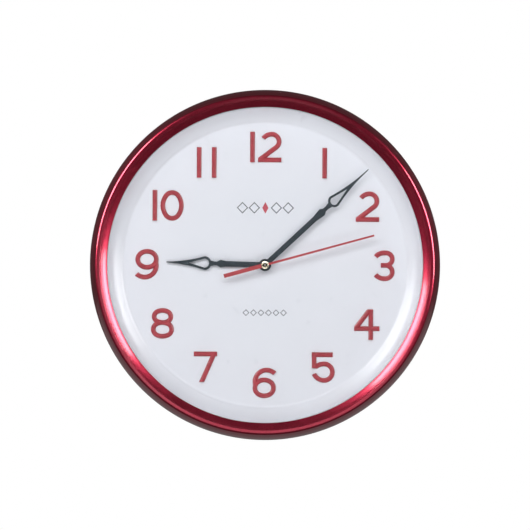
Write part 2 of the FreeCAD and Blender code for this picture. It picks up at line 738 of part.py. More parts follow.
def digit_two():
    lobe_x = LINE_SIDE - LOBE_RADIUS
    lobe_z = LINE_TOP - LOBE_RADIUS
    corner_x = -LINE_SIDE
    corner_z = -LINE_TOP + BASE_CORNER_LIFT
    end = meeting_angle(lobe_x, lobe_z, LOBE_RADIUS, corner_x, corner_z) - 360
    touch_x, touch_z = polar(LOBE_RADIUS, end)
    start_x = lobe_x + touch_x
    start_z = lobe_z + touch_z
    foot_x = start_x + (corner_x - start_x) * DIAGONAL_OVERRUN
    foot_z = start_z + (corner_z - start_z) * DIAGONAL_OVERRUN
    strokes = [
        bow(lobe_x, LINE_TOP - TOP_BOW_RADIUS, TOP_BOW_RADIUS, 90, TWO_TERMINAL),
        bow(lobe_x, lobe_z, LOBE_RADIUS, end, 90),
        bar(start_x, start_z, foot_x, foot_z),
        bar(-DIGIT_WIDTH / 2, -LINE_TOP, DIGIT_WIDTH / 2, -LINE_TOP),
    ]
    return [clipped(strokes, DIGIT_WIDTH / 2)]


def digit_three():
    lower_radius = (2 * LINE_TOP - 2 * THREE_UPPER_RADIUS) / 2
    waist = LINE_TOP - 2 * THREE_UPPER_RADIUS
    upper_x = LINE_SIDE - THREE_UPPER_RADIUS
    lower_x = LINE_SIDE - lower_radius
    top_z = LINE_TOP - TOP_BOW_RADIUS
    return [
        bow(THREE_TOP_X, top_z, TOP_BOW_RADIUS, 90, THREE_TERMINAL),
        bar(THREE_TOP_X, LINE_TOP, upper_x, LINE_TOP),
        bow(upper_x, LINE_TOP - THREE_UPPER_RADIUS, THREE_UPPER_RADIUS, -90, 90),
        bar(THREE_BAR_START, waist, upper_x, waist),
        bow(lower_x, -LINE_TOP + lower_radius, lower_radius, -90, 90),
        bar(THREE_TOP_X, -LINE_TOP, lower_x, -LINE_TOP),
        bow(THREE_TOP_X, -top_z, TOP_BOW_RADIUS, -THREE_TERMINAL, -90),
    ]


def digit_four():
    left = -FOUR_WIDTH / 2
    rise = LINE_TOP - FOUR_BAR_Z
    strokes = [
        bar(FOUR_STEM_X, -HALF_CAP, FOUR_STEM_X, HALF_CAP),
        bar(left, FOUR_BAR_Z, -left, FOUR_BAR_Z),
        bar(left - STROKE / 2, FOUR_BAR_Z - STROKE, FOUR_APEX_X, FOUR_BAR_Z + rise + STROKE),
    ]
    body = fuse_all(strokes)
    near = DIAL_FRONT_DEPTH
    far = DIAL_FRONT_DEPTH + STROKE_HEIGHT
    upper = block(left, FOUR_STEM_X + STROKE / 2, near, far, FOUR_BAR_Z - STROKE / 2, HALF_CAP)
    cross = block(left, -left, near, far, FOUR_BAR_Z - STROKE / 2, FOUR_BAR_Z + STROKE / 2)
    stem = block(
        FOUR_STEM_X - STROKE / 2, FOUR_STEM_X + STROKE / 2, near, far, -HALF_CAP, HALF_CAP
    )
    return [body.common(fuse_all([upper, cross, stem]))]


def digit_five():
    bowl_z = -LINE_TOP + FIVE_BOWL_RADIUS
    bowl_top = bowl_z + FIVE_BOWL_RADIUS
    stem_x = -LINE_SIDE
    foot_z = -LINE_TOP + FIVE_FOOT_RADIUS
    return [
        bar(-DIGIT_WIDTH / 2, LINE_TOP, LINE_SIDE, LINE_TOP),
        bar(stem_x, FIVE_STEM_FOOT, stem_x, HALF_CAP),
        bow(
            FIVE_BOWL_X,
            bowl_top - FIVE_SHOULDER_RADIUS,
            FIVE_SHOULDER_RADIUS,
            90,
            FIVE_SHOULDER_END,
        ),
        bow(FIVE_BOWL_X, bowl_z, FIVE_BOWL_RADIUS, -90, 90),
        bow(FIVE_BOWL_X, foot_z, FIVE_FOOT_RADIUS, FIVE_TERMINAL, 270),
    ]


def digit_six():
    bowl_z = -LINE_TOP + SIX_BOWL_HALF_HEIGHT
    spine_x = -LINE_SIDE + SIX_SPINE_RADIUS
    spine_z = LINE_TOP - SIX_SPINE_RADIUS
    strokes = oval(0, bowl_z, LINE_SIDE, SIX_BOWL_HALF_HEIGHT, SIX_BOWL_ROUNDNESS)
    strokes.append(bow(spine_x, spine_z, SIX_SPINE_RADIUS, SIX_TERMINAL, SIX_SPINE_END))
    return strokes


def digit_seven():
    foot_x = SEVEN_FOOT_X - (SEVEN_TOP_X - SEVEN_FOOT_X) * SEVEN_OVERRUN
    foot_z = -HALF_CAP - CAP_HEIGHT * SEVEN_OVERRUN
    strokes = [
        bar(-DIGIT_WIDTH / 2, LINE_TOP, DIGIT_WIDTH / 2, LINE_TOP),
        bar(foot_x, foot_z, SEVEN_TOP_X, HALF_CAP),
    ]
    return [clipped(strokes, DIGIT_WIDTH / 2)]


def digit_eight():
    upper_z = LINE_TOP - EIGHT_UPPER_HALF_HEIGHT
    lower_half_height = (2 * LINE_TOP - 2 * EIGHT_UPPER_HALF_HEIGHT) / 2
    lower_z = -LINE_TOP + lower_half_height
    upper = oval(
        0, upper_z, EIGHT_UPPER_HALF_WIDTH, EIGHT_UPPER_HALF_HEIGHT, EIGHT_UPPER_ROUNDNESS
    )
    lower = oval(0, lower_z, EIGHT_LOWER_HALF_WIDTH, lower_half_height, EIGHT_LOWER_ROUNDNESS)
    return upper + lower


def digit_nine():
    return [turn_hand(s, 180) for s in digit_six()]


def digit_zero():
    return oval(0, 0, LINE_SIDE, LINE_TOP, ZERO_ROUNDNESS)


def placed(strokes, x, z):
    body = fuse_all(strokes)
    body.translate(Vector(x, 0, z))
    return body


DIGITS = {
    1: digit_one,
    2: digit_two,
    3: digit_three,
    4: digit_four,
    5: digit_five,
    6: digit_six,
    7: digit_seven,
    8: digit_eight,
    9: digit_nine,
}

for hour in range(1, 13):
    x, z = polar(NUMERAL_CIRCLE_RADIUS, 90 - 30 * hour)
    if hour < 10:
        shapes = [placed(DIGITS[hour](), x, z)]
    elif hour == 10:
        shapes = [
            placed(digit_one(), x + TEN_INSET - PAIR_BAR_OFFSET, z),
            placed(digit_zero(), x + TEN_INSET + PAIR_ROUND_OFFSET, z),
        ]
    elif hour == 11:
        shapes = [
            placed(digit_one(), x - ELEVEN_OFFSET, z),
            placed(digit_one(), x + ELEVEN_OFFSET, z),
        ]
    else:
        shapes = [
            placed(digit_one(), x - PAIR_BAR_OFFSET, z),
            placed(digit_two(), x + PAIR_ROUND_OFFSET, z),
        ]
    solids = [s for shape in shapes for s in shape.Solids]
    export("numeral_%02d" % hour, Part.makeCompound(solids))


# ---------------------------------------------------------------- hands
def tapered(points, depth):
    """A hand outline given on its right side as (across, along), mirrored to the left."""
    left = [(-across, along) for across, along in reversed(points)]
    return plate(points + left, depth, depth + HAND_SHEET)


def spear(depth, shaft, collar, neck, loop, spear_mid, tip):
    """A stamped hand pointing up: shaft, flared collar, neck, open teardrop and long point."""
    shaft_half = shaft["width"] / 2
    body = block(
        -shaft_half, shaft_half, depth, depth + HAND_SHEET, 0, collar["centre"]
    )
    swell = tapered(
        [
            (shaft_half, collar["centre"] - collar["flare"]),
            (collar["width"] / 2, collar["centre"]),
            (neck["width"] / 2, collar["centre"] + collar["shoulder"]),
        ],
        depth,
    )
    throat = tapered(
        [
            (neck["width"] / 2, collar["centre"]),
            (neck["width"] / 2, neck["radius"]),
            (shaft_half, loop["centre"] - loop["half_width"]),
            (shaft_half, loop["centre"]),
        ],
        depth,
    )
    eye_half = loop["half_width"] - loop["wall"]
    outer = teardrop(loop["centre"], loop["half_width"], spear_mid, tip, depth)
    eye = eyelet(loop["centre"], eye_half, loop["apex"], depth)
    solid = fuse_all([body, swell, throat, outer])
    return cut_all(solid, [eye])


def teardrop(centre, half_width, spear_mid, tip, depth):
    """Round below, with sides that curve in to a narrow point."""
    start = front_point(half_width, centre, depth)
    middle = front_point(spear_mid["width"] / 2, spear_mid["radius"], depth)
    end = front_point(tip["width"] / 2, tip["length"], depth)
    edges = [
        Part.Arc(start, middle, end).toShape(),
        Part.LineSegment(end, front_point(-tip["width"] / 2, tip["length"], depth)).toShape(),
        Part.Arc(
            front_point(-tip["width"] / 2, tip["length"], depth),
            front_point(-spear_mid["width"] / 2, spear_mid["radius"], depth),
            front_point(-half_width, centre, depth),
        ).toShape(),
        Part.Arc(
            front_point(-half_width, centre, depth),
            front_point(0, centre - half_width, depth),
            start,
        ).toShape(),
    ]
    return Part.Face(Part.Wire(edges)).extrude(Vector(0, -HAND_SHEET, 0))


def eyelet(centre, half_width, apex, depth):
    """The teardrop opening inside a hand's loop."""
    right = front_point(half_width, centre, depth)
    left = front_point(-half_width, centre, depth)
    point = front_point(0, apex, depth)
    edges = [
        Part.LineSegment(right, point).toShape(),
        Part.LineSegment(point, left).toShape(),
        Part.Arc(left, front_point(0, centre - half_width, depth), right).toShape(),
    ]
    return Part.Face(Part.Wire(edges)).extrude(Vector(0, -HAND_SHEET, 0))


def bushed(hand, depth, bore_radius):
    """Adds the round hub and its bush behind, and bores both for the pipe."""
    hub = disc(HUB_RADIUS, depth, depth + HAND_SHEET)
    bush = disc(bore_radius + BUSH_WALL, depth - BUSH_LENGTH, depth + HAND_SHEET)
    bore = disc(bore_radius, depth - BUSH_LENGTH, depth + HAND_SHEET)
    return cut_all(fuse_all([hand, hub, bush]), [bore])


hour_hand = spear(
    HOUR_HAND_DEPTH,
    {"width": HOUR_SHAFT_WIDTH},
    {
        "centre": HOUR_LENGTH - HOUR_TIP_TO_COLLAR,
        "width": HOUR_COLLAR_WIDTH,
        "flare": HOUR_FLARE,
        "shoulder": HOUR_SHOULDER,
    },
    {"radius": HOUR_LENGTH - HOUR_TIP_TO_NECK, "width": HOUR_NECK_WIDTH},
    {
        "centre": HOUR_LENGTH - HOUR_TIP_TO_LOOP,
        "half_width": HOUR_LOOP_HALF_WIDTH,
        "wall": HOUR_LOOP_WALL,
        "apex": HOUR_LENGTH - HOUR_TIP_TO_APEX,
    },
    {"radius": HOUR_LENGTH - HOUR_TIP_TO_SPEAR_MID, "width": HOUR_SPEAR_MID_WIDTH},
    {"length": HOUR_LENGTH, "width": HOUR_TIP_WIDTH},
)
hour_hand = bushed(hour_hand, HOUR_HAND_DEPTH, HOUR_PIPE_RADIUS + PRESS_CLEARANCE)
export("hour_hand", turn_hand(hour_hand, HOUR_ANGLE))

minute_hand = spear(
    MINUTE_HAND_DEPTH,
    {"width": MINUTE_SHAFT_WIDTH},
    {
        "centre": MINUTE_LENGTH - MINUTE_TIP_TO_COLLAR,
        "width": MINUTE_COLLAR_WIDTH,
        "flare": MINUTE_FLARE,
        "shoulder": MINUTE_SHOULDER,
    },
    {"radius": MINUTE_LENGTH - MINUTE_TIP_TO_NECK, "width": MINUTE_NECK_WIDTH},
    {
        "centre": MINUTE_LENGTH - MINUTE_TIP_TO_LOOP,
        "half_width": MINUTE_LOOP_HALF_WIDTH,
        "wall": MINUTE_LOOP_WALL,
        "apex": MINUTE_LENGTH - MINUTE_TIP_TO_APEX,
    },
    {"radius": MINUTE_LENGTH - MINUTE_TIP_TO_SPEAR_MID, "width": MINUTE_SPEAR_MID_WIDTH},
    {"length": MINUTE_LENGTH, "width": MINUTE_TIP_WIDTH},
)
minute_hand = bushed(minute_hand, MINUTE_HAND_DEPTH, CANNON_RADIUS + PRESS_CLEARANCE)
export("minute_hand", turn_hand(minute_hand, MINUTE_ANGLE))

second_front = SECOND_HAND_DEPTH + HAND_SHEET
pointer = plate(
    [
        (-SECOND_WIDTH / 2, 0),
        (SECOND_WIDTH / 2, 0),
        (SECOND_TIP_WIDTH / 2, SECOND_LENGTH),
        (-SECOND_TIP_WIDTH / 2, SECOND_LENGTH),
    ],
    SECOND_HAND_DEPTH,
    second_front,
)
tail = block(
    -SECOND_TAIL_WIDTH / 2,
    SECOND_TAIL_WIDTH / 2,
    SECOND_HAND_DEPTH,
    second_front,
    -SECOND_TAIL_LENGTH,
    0,
)
second_hub = disc(SECOND_HUB_RADIUS, SECOND_HAND_DEPTH, second_front)
tube_bore = disc(COLLET_TUBE_RADIUS + PRESS_CLEARANCE, SECOND_HAND_DEPTH, second_front)
second_hand = cut_all(fuse_all([pointer, tail, second_hub]), [tube_bore])
export("second_hand", turn_hand(second_hand, SECOND_ANGLE))

tube_back = SECOND_HAND_DEPTH - COLLET_TUBE_LENGTH
collet = disc(COLLET_RADIUS, second_front, COLLET_FRONT_DEPTH).fuse(
    disc(COLLET_TUBE_RADIUS, tube_back, COLLET_FRONT_DEPTH)
)
cup = disc(COLLET_RADIUS - COLLET_RIM, COLLET_FLOOR_DEPTH, COLLET_FRONT_DEPTH)
arbor_bore = disc(SECOND_ARBOR_RADIUS + PRESS_CLEARANCE, tube_back, COLLET_FRONT_DEPTH)
collet = cut_all(collet, [cup, arbor_bore])
export("second_hand_collet", collet)

# ---------------------------------------------------------------- wheel centres
motion_distance = MOTION_MODULE * (CANNON_TEETH + MINUTE_WHEEL_TEETH) / 2
third_distance = THIRD_MODULE * (SECOND_PINION_TEETH + THIRD_WHEEL_TEETH) / 2
CENTRE_MODULE = 2 * third_distance / (CENTRE_WHEEL_TEETH + THIRD_PINION_TEETH)
step_distance = SECOND_MODULE * (SECOND_WHEEL_TEETH + STEP_PINION_TEETH) / 2
rotor_distance = STEP_MODULE * (STEP_WHEEL_TEETH + ROTOR_PINION_TEETH) / 2
knob_x, knob_z = polar(motion_distance, MINUTE_WHEEL_ANGLE)
third_x, third_z = polar(third_distance, THIRD_ANGLE)
step_x, step_z = polar(step_distance, STEP_ANGLE)
rotor_dx, rotor_dz = polar(rotor_distance, ROTOR_ANGLE)
rotor_x = step_x + rotor_dx
rotor_z = step_z + rotor_dz


def toothed(teeth, module, x, z, near, far, toward, gap):
    """A straight-sided toothed disc with a tooth, or a gap, facing the bearing given in degrees."""
    root = module * (teeth / 2 - DEDENDUM)
    tip = module * (teeth / 2 + WHEEL_ADDENDUM)
    root_half = math.degrees(module * TOOTH_AT_ROOT / 2 / root)
    tip_half = math.degrees(module * TOOTH_AT_TIP / 2 / tip)
    pitch = 360.0 / teeth
    first = toward + (pitch / 2 if gap else 0)
    points = []
    for i in range(teeth):
        middle = first + pitch * i
        for radius, angle in (
            (root, middle - root_half),
            (tip, middle - tip_half),
            (tip, middle + tip_half),
            (root, middle + root_half),
        ):
            px, pz = polar(radius, angle)
            points.append((x + px, z + pz))
    return plate(points, near, far)


# ---------------------------------------------------------------- wheels of the going train
mid_plate_front = MID_PLATE_DEPTH + MID_PLATE_THICKNESS
rear_inner_depth = MOVEMENT_BACK_DEPTH + REAR_PLATE
front_inner_depth = DIAL_BACK_DEPTH - FRONT_PLATE
rear_bearing_depth = MOVEMENT_BACK_DEPTH + REAR_PLATE / 2
boss_depth = rear_inner_depth + BEARING_BOSS / 2
front_boss_depth = front_inner_depth - BEARING_BOSS / 2
front_bearing_depth = front_inner_depth + BEARING_BOSS / 2

second_wheel = fuse_all(
    [
        disc(SECOND_ARBOR_RADIUS, rear_bearing_depth, SECOND_ARBOR_END_DEPTH),
        toothed(
            SECOND_WHEEL_TEETH,
            SECOND_MODULE,
            0,
            0,
            SECOND_WHEEL_DEPTH,
            SECOND_WHEEL_DEPTH + WHEEL_SHEET,
            STEP_ANGLE,
            False,
        ),
        toothed(
            SECOND_PINION_TEETH,
            THIRD_MODULE,
            0,
            0,
            SECOND_WHEEL_DEPTH + WHEEL_SHEET,
            THIRD_WHEEL_DEPTH + WHEEL_SHEET + MESH_OVERHANG,
            THIRD_ANGLE,
            True,
        ),
    ]
)
export("second_wheel", second_wheel)

third_wheel = fuse_all(
    [
        disc(THIRD_ARBOR_RADIUS, rear_bearing_depth, front_bearing_depth, third_x, third_z),
        toothed(
            THIRD_WHEEL_TEETH,
            THIRD_MODULE,
            third_x,
            third_z,
            THIRD_WHEEL_DEPTH,
            THIRD_WHEEL_DEPTH + WHEEL_SHEET,
            THIRD_ANGLE + 180,
            False,
        ),
        toothed(
            THIRD_PINION_TEETH,
            CENTRE_MODULE,
            third_x,
            third_z,
            CENTRE_WHEEL_DEPTH - MESH_OVERHANG,
            CENTRE_WHEEL_DEPTH + WHEEL_SHEET + MESH_OVERHANG,
            THIRD_ANGLE + 180,
            True,
        ),
    ]
)
export("third_wheel", third_wheel)

centre_wheel = toothed(
    CENTRE_WHEEL_TEETH,
    CENTRE_MODULE,
    0,
    0,
    CENTRE_WHEEL_DEPTH,
    CENTRE_WHEEL_DEPTH + WHEEL_SHEET,
    THIRD_ANGLE,
    False,
)
centre_wheel = cut_all(
    centre_wheel,
    [
        disc(
            CANNON_RADIUS + BEARING_CLEARANCE,
            CENTRE_WHEEL_DEPTH,
            CENTRE_WHEEL_DEPTH + WHEEL_SHEET,
        )
    ],
)
export("centre_wheel", centre_wheel)

step_wheel = fuse_all(
    [
        disc(STEP_ARBOR_RADIUS, rear_bearing_depth, mid_plate_front, step_x, step_z),
        toothed(
            STEP_WHEEL_TEETH,
            STEP_MODULE,
            step_x,
            step_z,
            STEP_WHEEL_DEPTH,
            STEP_WHEEL_DEPTH + WHEEL_SHEET,
            ROTOR_ANGLE,
            False,
        ),
        toothed(
            STEP_PINION_TEETH,
            SECOND_MODULE,
            step_x,
            step_z,
            STEP_WHEEL_DEPTH + WHEEL_SHEET,
            SECOND_WHEEL_DEPTH + WHEEL_SHEET + MESH_OVERHANG,
            STEP_ANGLE + 180,
            True,
        ),
    ]
)
export("step_wheel", step_wheel)

rotor_pinion = fuse_all(
    [
        disc(ROTOR_ARBOR_RADIUS, rear_bearing_depth, mid_plate_front, rotor_x, rotor_z),
        toothed(
            ROTOR_PINION_TEETH,
            STEP_MODULE,
            rotor_x,
            rotor_z,
            STEP_WHEEL_DEPTH - MESH_OVERHANG,
            STEP_WHEEL_DEPTH + WHEEL_SHEET + MESH_OVERHANG,
            ROTOR_ANGLE + 180,
            True,
        ),
    ]
)
export("rotor_pinion", rotor_pinion)

magnet_front = MAGNET_DEPTH + MAGNET_LENGTH
magnet = disc(MAGNET_RADIUS, MAGNET_DEPTH, magnet_front, rotor_x, rotor_z).cut(
    disc(ROTOR_ARBOR_RADIUS, MAGNET_DEPTH, magnet_front, rotor_x, rotor_z)
)
export("rotor_magnet", magnet)

# ---------------------------------------------------------------- motion work and setting knob
cannon_back = CENTRE_WHEEL_DEPTH - MESH_OVERHANG
pinion_far = MINUTE_WHEEL_DEPTH + WHEEL_SHEET + MESH_OVERHANG
cannon = fuse_all(
    [
        disc(CANNON_RADIUS, cannon_back, CANNON_END_DEPTH),
        toothed(
            CANNON_TEETH,
            MOTION_MODULE,
            0,
            0,
            MINUTE_WHEEL_DEPTH - MESH_OVERHANG,
            pinion_far,
            MINUTE_WHEEL_ANGLE,
            True,
        ),
    ]
)
cannon = cut_all(
    cannon,
    [disc(SECOND_ARBOR_RADIUS + BEARING_CLEARANCE, cannon_back, CANNON_END_DEPTH)],
)
export("cannon_pinion", cannon)

knob_front = KNOB_BACK_DEPTH + KNOB_THICKNESS
minute_pinion_far = HOUR_WHEEL_DEPTH + WHEEL_SHEET + MESH_OVERHANG
minute_wheel = fuse_all(
    [
        disc(KNOB_ARBOR_RADIUS, knob_front, front_bearing_depth, knob_x, knob_z),
        toothed(
            MINUTE_WHEEL_TEETH,
            MOTION_MODULE,
            knob_x,
            knob_z,
            MINUTE_WHEEL_DEPTH,
            MINUTE_WHEEL_DEPTH + WHEEL_SHEET,
            MINUTE_WHEEL_ANGLE + 180,
            False,
        ),
        toothed(
            MINUTE_PINION_TEETH,
            MOTION_MODULE,
            knob_x,
            knob_z,
            MINUTE_WHEEL_DEPTH + WHEEL_SHEET,
            minute_pinion_far,
            MINUTE_WHEEL_ANGLE + 180,
            True,
        ),
    ]
)
export("minute_wheel", minute_wheel)

knob = disc(KNOB_RADIUS, KNOB_BACK_DEPTH, knob_front, knob_x, knob_z)
flutes = []
for i in range(KNOB_FLUTES):
    dx, dz = polar(KNOB_RADIUS, 360.0 / KNOB_FLUTES * i)
    flutes.append(disc(KNOB_FLUTE_RADIUS, KNOB_BACK_DEPTH, knob_front, knob_x + dx, knob_z + dz))
knob_slot = block(
    knob_x - KNOB_RADIUS,
    knob_x + KNOB_RADIUS,
    KNOB_BACK_DEPTH,
    KNOB_BACK_DEPTH + KNOB_SLOT_DEPTH,
    knob_z - KNOB_SLOT_WIDTH / 2,
    knob_z + KNOB_SLOT_WIDTH / 2,
)
knob = cut_all(knob, flutes + [knob_slot])
export("setting_knob", knob)

hour_back = HOUR_WHEEL_DEPTH
hour_wheel = fuse_all(
    [
        disc(HOUR_PIPE_RADIUS, hour_back, HOUR_PIPE_END_DEPTH),
        toothed(
            HOUR_WHEEL_TEETH,
            MOTION_MODULE,
            0,
            0,
            hour_back,
            hour_back + WHEEL_SHEET,
            MINUTE_WHEEL_ANGLE,
            False,
        ),
    ]
)
hour_wheel = cut_all(
    hour_wheel, [disc(CANNON_RADIUS + BEARING_CLEARANCE, hour_back, HOUR_PIPE_END_DEPTH)]
)
export("hour_wheel", hour_wheel)

# ---------------------------------------------------------------- movement shells
inner_half = MOVEMENT_INNER_HALF
bay_rib_top = BAY_TOP + BAY_WALL
cell_depth = DIAL_BACK_DEPTH - BAY_FLOOR - BEARING_CLEARANCE - CELL_RADIUS
bay_bottom = -inner_half
cell_z = BAY_TOP - CELL_BAY_GAP - CELL_RADIUS
rib_half = inner_half - BAY_WALL_GAP


def bearing(x, z, arbor_radius, near, far):
    return disc(arbor_radius + BEARING_CLEARANCE, near, far, x, z)


def bearing_boss(x, z, arbor_radius, near, far):
    return disc(arbor_radius + BEARING_BOSS, near, far, x, z)


rear_shell = rounded_block(half_movement, MOVEMENT_BACK_DEPTH, SHELL_SPLIT_DEPTH, MOVEMENT_CORNER)
rear_room = block(
    -inner_half, inner_half, rear_inner_depth, SHELL_SPLIT_DEPTH, bay_bottom, inner_half
)
bay_mouth = block(
    -inner_half, inner_half, MOVEMENT_BACK_DEPTH, SHELL_SPLIT_DEPTH, bay_bottom, BAY_TOP
)
rear_shell = rear_shell.cut([rear_room, bay_mouth])
rear_rib = block(
    -rib_half, rib_half, MOVEMENT_BACK_DEPTH, SHELL_SPLIT_DEPTH, BAY_TOP, bay_rib_top
)
rear_bosses = [
    bearing_boss(0, 0, SECOND_ARBOR_RADIUS, rear_inner_depth, boss_depth),
    bearing_boss(third_x, third_z, THIRD_ARBOR_RADIUS, rear_inner_depth, boss_depth),
    bearing_boss(step_x, step_z, STEP_ARBOR_RADIUS, rear_inner_depth, boss_depth),
    bearing_boss(rotor_x, rotor_z, ROTOR_ARBOR_RADIUS, rear_inner_depth, boss_depth),
    bearing_boss(knob_x, knob_z, KNOB_ARBOR_RADIUS, rear_inner_depth, boss_depth),
]
arm_x = (STATOR_BODY_RIGHT + STATOR_RIGHT) / 2 - CORE_WIDTH
arm_heights = (
    STATOR_TOP - STATOR_ARM_WIDTH / 2,
    STATOR_BOTTOM + STATOR_ARM_WIDTH / 2,
)
stator_posts = [disc(POST_RADIUS, rear_inner_depth, STATOR_DEPTH, arm_x, z) for z in arm_heights]
rear_holes = [
    bearing(0, 0, SECOND_ARBOR_RADIUS, rear_bearing_depth, boss_depth),
    bearing(third_x, third_z, THIRD_ARBOR_RADIUS, rear_bearing_depth, boss_depth),
    bearing(step_x, step_z, STEP_ARBOR_RADIUS, rear_bearing_depth, boss_depth),
    bearing(rotor_x, rotor_z, ROTOR_ARBOR_RADIUS, rear_bearing_depth, boss_depth),
    bearing(knob_x, knob_z, KNOB_ARBOR_RADIUS, MOVEMENT_BACK_DEPTH, boss_depth),
]
rear_shell = fuse_all([rear_shell, rear_rib] + rear_bosses + stator_posts)
rear_shell = cut_all(rear_shell, rear_holes)
export("movement_rear_shell", rear_shell)

front_shell = rounded_block(half_movement, SHELL_SPLIT_DEPTH, DIAL_BACK_DEPTH, MOVEMENT_CORNER)
front_room = block(
    -inner_half, inner_half, SHELL_SPLIT_DEPTH, front_inner_depth, bay_bottom, inner_half
)
front_bay = block(
    -inner_half,
    inner_half,
    SHELL_SPLIT_DEPTH,
    DIAL_BACK_DEPTH - BAY_FLOOR,
    bay_bottom,
    BAY_TOP,
)
front_shell = front_shell.cut([front_room, front_bay])
front_rib = block(
    -rib_half, rib_half, SHELL_SPLIT_DEPTH, front_inner_depth, BAY_TOP, bay_rib_top
)
collar = disc(COLLAR_RADIUS, front_inner_depth, DIAL_FRONT_DEPTH)
ledge = block(
    -LEDGE_WIDTH / 2,
    LEDGE_WIDTH / 2,
    LEDGE_DEPTH,
    LEDGE_DEPTH + LEDGE_HEIGHT,
    half_movement - MOVEMENT_WALL / 2,
    ledge_end,
)
post_inset = inner_half - POST_RADIUS - MID_PLATE_CLEARANCE
post_places = [
    (-post_inset, post_inset),
    (-post_inset, bay_rib_top + POST_RADIUS + MID_PLATE_CLEARANCE),
    (MID_PLATE_RIGHT - 2 * POST_RADIUS, post_inset),
]
posts = [disc(POST_RADIUS, mid_plate_front, front_inner_depth, x, z) for x, z in post_places]
front_bosses = [
    bearing_boss(third_x, third_z, THIRD_ARBOR_RADIUS, front_boss_depth, front_inner_depth),
    bearing_boss(knob_x, knob_z, KNOB_ARBOR_RADIUS, front_boss_depth, front_inner_depth),
]
front_holes = [
    bearing(0, 0, HOUR_PIPE_RADIUS, front_inner_depth, DIAL_FRONT_DEPTH),
    bearing(
        third_x,
        third_z,
        THIRD_ARBOR_RADIUS,
        front_boss_depth,
        front_bearing_depth + BEARING_CLEARANCE,
    ),
    bearing(
        knob_x,
        knob_z,
        KNOB_ARBOR_RADIUS,
        front_boss_depth,
        front_bearing_depth + BEARING_CLEARANCE,
    ),
]
front_shell = fuse_all(
    [front_shell, front_rib, collar, ledge, turn_hand(ledge, 180)] + posts + front_bosses
)
front_shell = cut_all(front_shell, front_holes)
export("movement_front_shell", front_shell)

mid_plate = block(
    -inner_half + MID_PLATE_CLEARANCE,
    MID_PLATE_RIGHT,
    MID_PLATE_DEPTH,
    mid_plate_front,
    bay_rib_top + MID_PLATE_CLEARANCE,
    inner_half - MID_PLATE_CLEARANCE,
)
mid_plate = cut_all(
    mid_plate,
    [
        bearing(0, 0, SECOND_ARBOR_RADIUS, MID_PLATE_DEPTH, mid_plate_front),
        bearing(third_x, third_z, THIRD_ARBOR_RADIUS, MID_PLATE_DEPTH, mid_plate_front),
        bearing(step_x, step_z, STEP_ARBOR_RADIUS, MID_PLATE_DEPTH, mid_plate_front),
        bearing(rotor_x, rotor_z, ROTOR_ARBOR_RADIUS, MID_PLATE_DEPTH, mid_plate_front),
        bearing(knob_x, knob_z, KNOB_ARBOR_RADIUS, MID_PLATE_DEPTH, mid_plate_front),
    ],
)
export("movement_mid_plate", mid_plate)

# ---------------------------------------------------------------- stator, coil and core
stator_front = STATOR_DEPTH + STATOR_SHEET
stator = plate(
    [
        (STATOR_LEFT, rotor_z - STATOR_HALF_HEIGHT),
        (STATOR_LEFT, rotor_z + STATOR_HALF_HEIGHT),
        (STATOR_BODY_RIGHT - STATOR_ARM_WIDTH, STATOR_TOP),
        (STATOR_RIGHT, STATOR_TOP),
        (STATOR_RIGHT, STATOR_TOP - STATOR_ARM_WIDTH),
        (STATOR_BODY_RIGHT, STATOR_TOP - STATOR_ARM_WIDTH),
        (STATOR_BODY_RIGHT, STATOR_BOTTOM + STATOR_ARM_WIDTH),
        (STATOR_RIGHT, STATOR_BOTTOM + STATOR_ARM_WIDTH),
        (STATOR_RIGHT, STATOR_BOTTOM),
        (STATOR_BODY_RIGHT - STATOR_ARM_WIDTH, STATOR_BOTTOM),
    ],
    STATOR_DEPTH,
    stator_front,
)
stator_hole_radius = MAGNET_RADIUS + STATOR_HOLE_GAP
notch_reach = stator_hole_radius + STATOR_SLIT
stator = cut_all(
    stator,
    [
        disc(stator_hole_radius, STATOR_DEPTH, stator_front, rotor_x, rotor_z),
        block(
            rotor_x - notch_reach,
            rotor_x + notch_reach,
            STATOR_DEPTH,
            stator_front,
            rotor_z - STATOR_SLIT / 2,
            rotor_z + STATOR_SLIT / 2,
        ),
    ],
)
export("stator", stator)

core_front = stator_front + CORE_SHEET
core_left = COIL_X - CORE_WIDTH / 2
core_right = COIL_X + CORE_WIDTH / 2
core = block(core_left, core_right, stator_front, core_front, STATOR_BOTTOM, STATOR_TOP)
export("coil_core", core)

core_middle = (stator_front + core_front) / 2


def coil_disc(radius, bottom, top):
    return Part.makeCylinder(
        radius, top - bottom, front_point(COIL_X, bottom, core_middle), Vector(0, 0, 1)
    )


tube_radius = math.hypot(CORE_WIDTH / 2, CORE_SHEET / 2) + BOBBIN_WALL
core_room = block(
    core_left - CORE_CLEARANCE,
    core_right + CORE_CLEARANCE,
    stator_front - CORE_CLEARANCE,
    core_front + CORE_CLEARANCE,
    BOBBIN_BOTTOM,
    BOBBIN_TOP,
)
bobbin = fuse_all(
    [
        coil_disc(tube_radius, BOBBIN_BOTTOM, BOBBIN_TOP),
        coil_disc(BOBBIN_RADIUS, BOBBIN_BOTTOM, BOBBIN_BOTTOM + BOBBIN_FLANGE),
        coil_disc(BOBBIN_RADIUS, BOBBIN_TOP - BOBBIN_FLANGE, BOBBIN_TOP),
    ]
)
bobbin = cut_all(bobbin, [core_room])
export("coil_bobbin", bobbin)

winding_bottom = BOBBIN_BOTTOM + BOBBIN_FLANGE
winding_top = BOBBIN_TOP - BOBBIN_FLANGE
winding = coil_disc(BOBBIN_RADIUS - WINDING_INSET, winding_bottom, winding_top).cut(
    coil_disc(tube_radius, winding_bottom, winding_top)
)
export("coil_winding", winding)

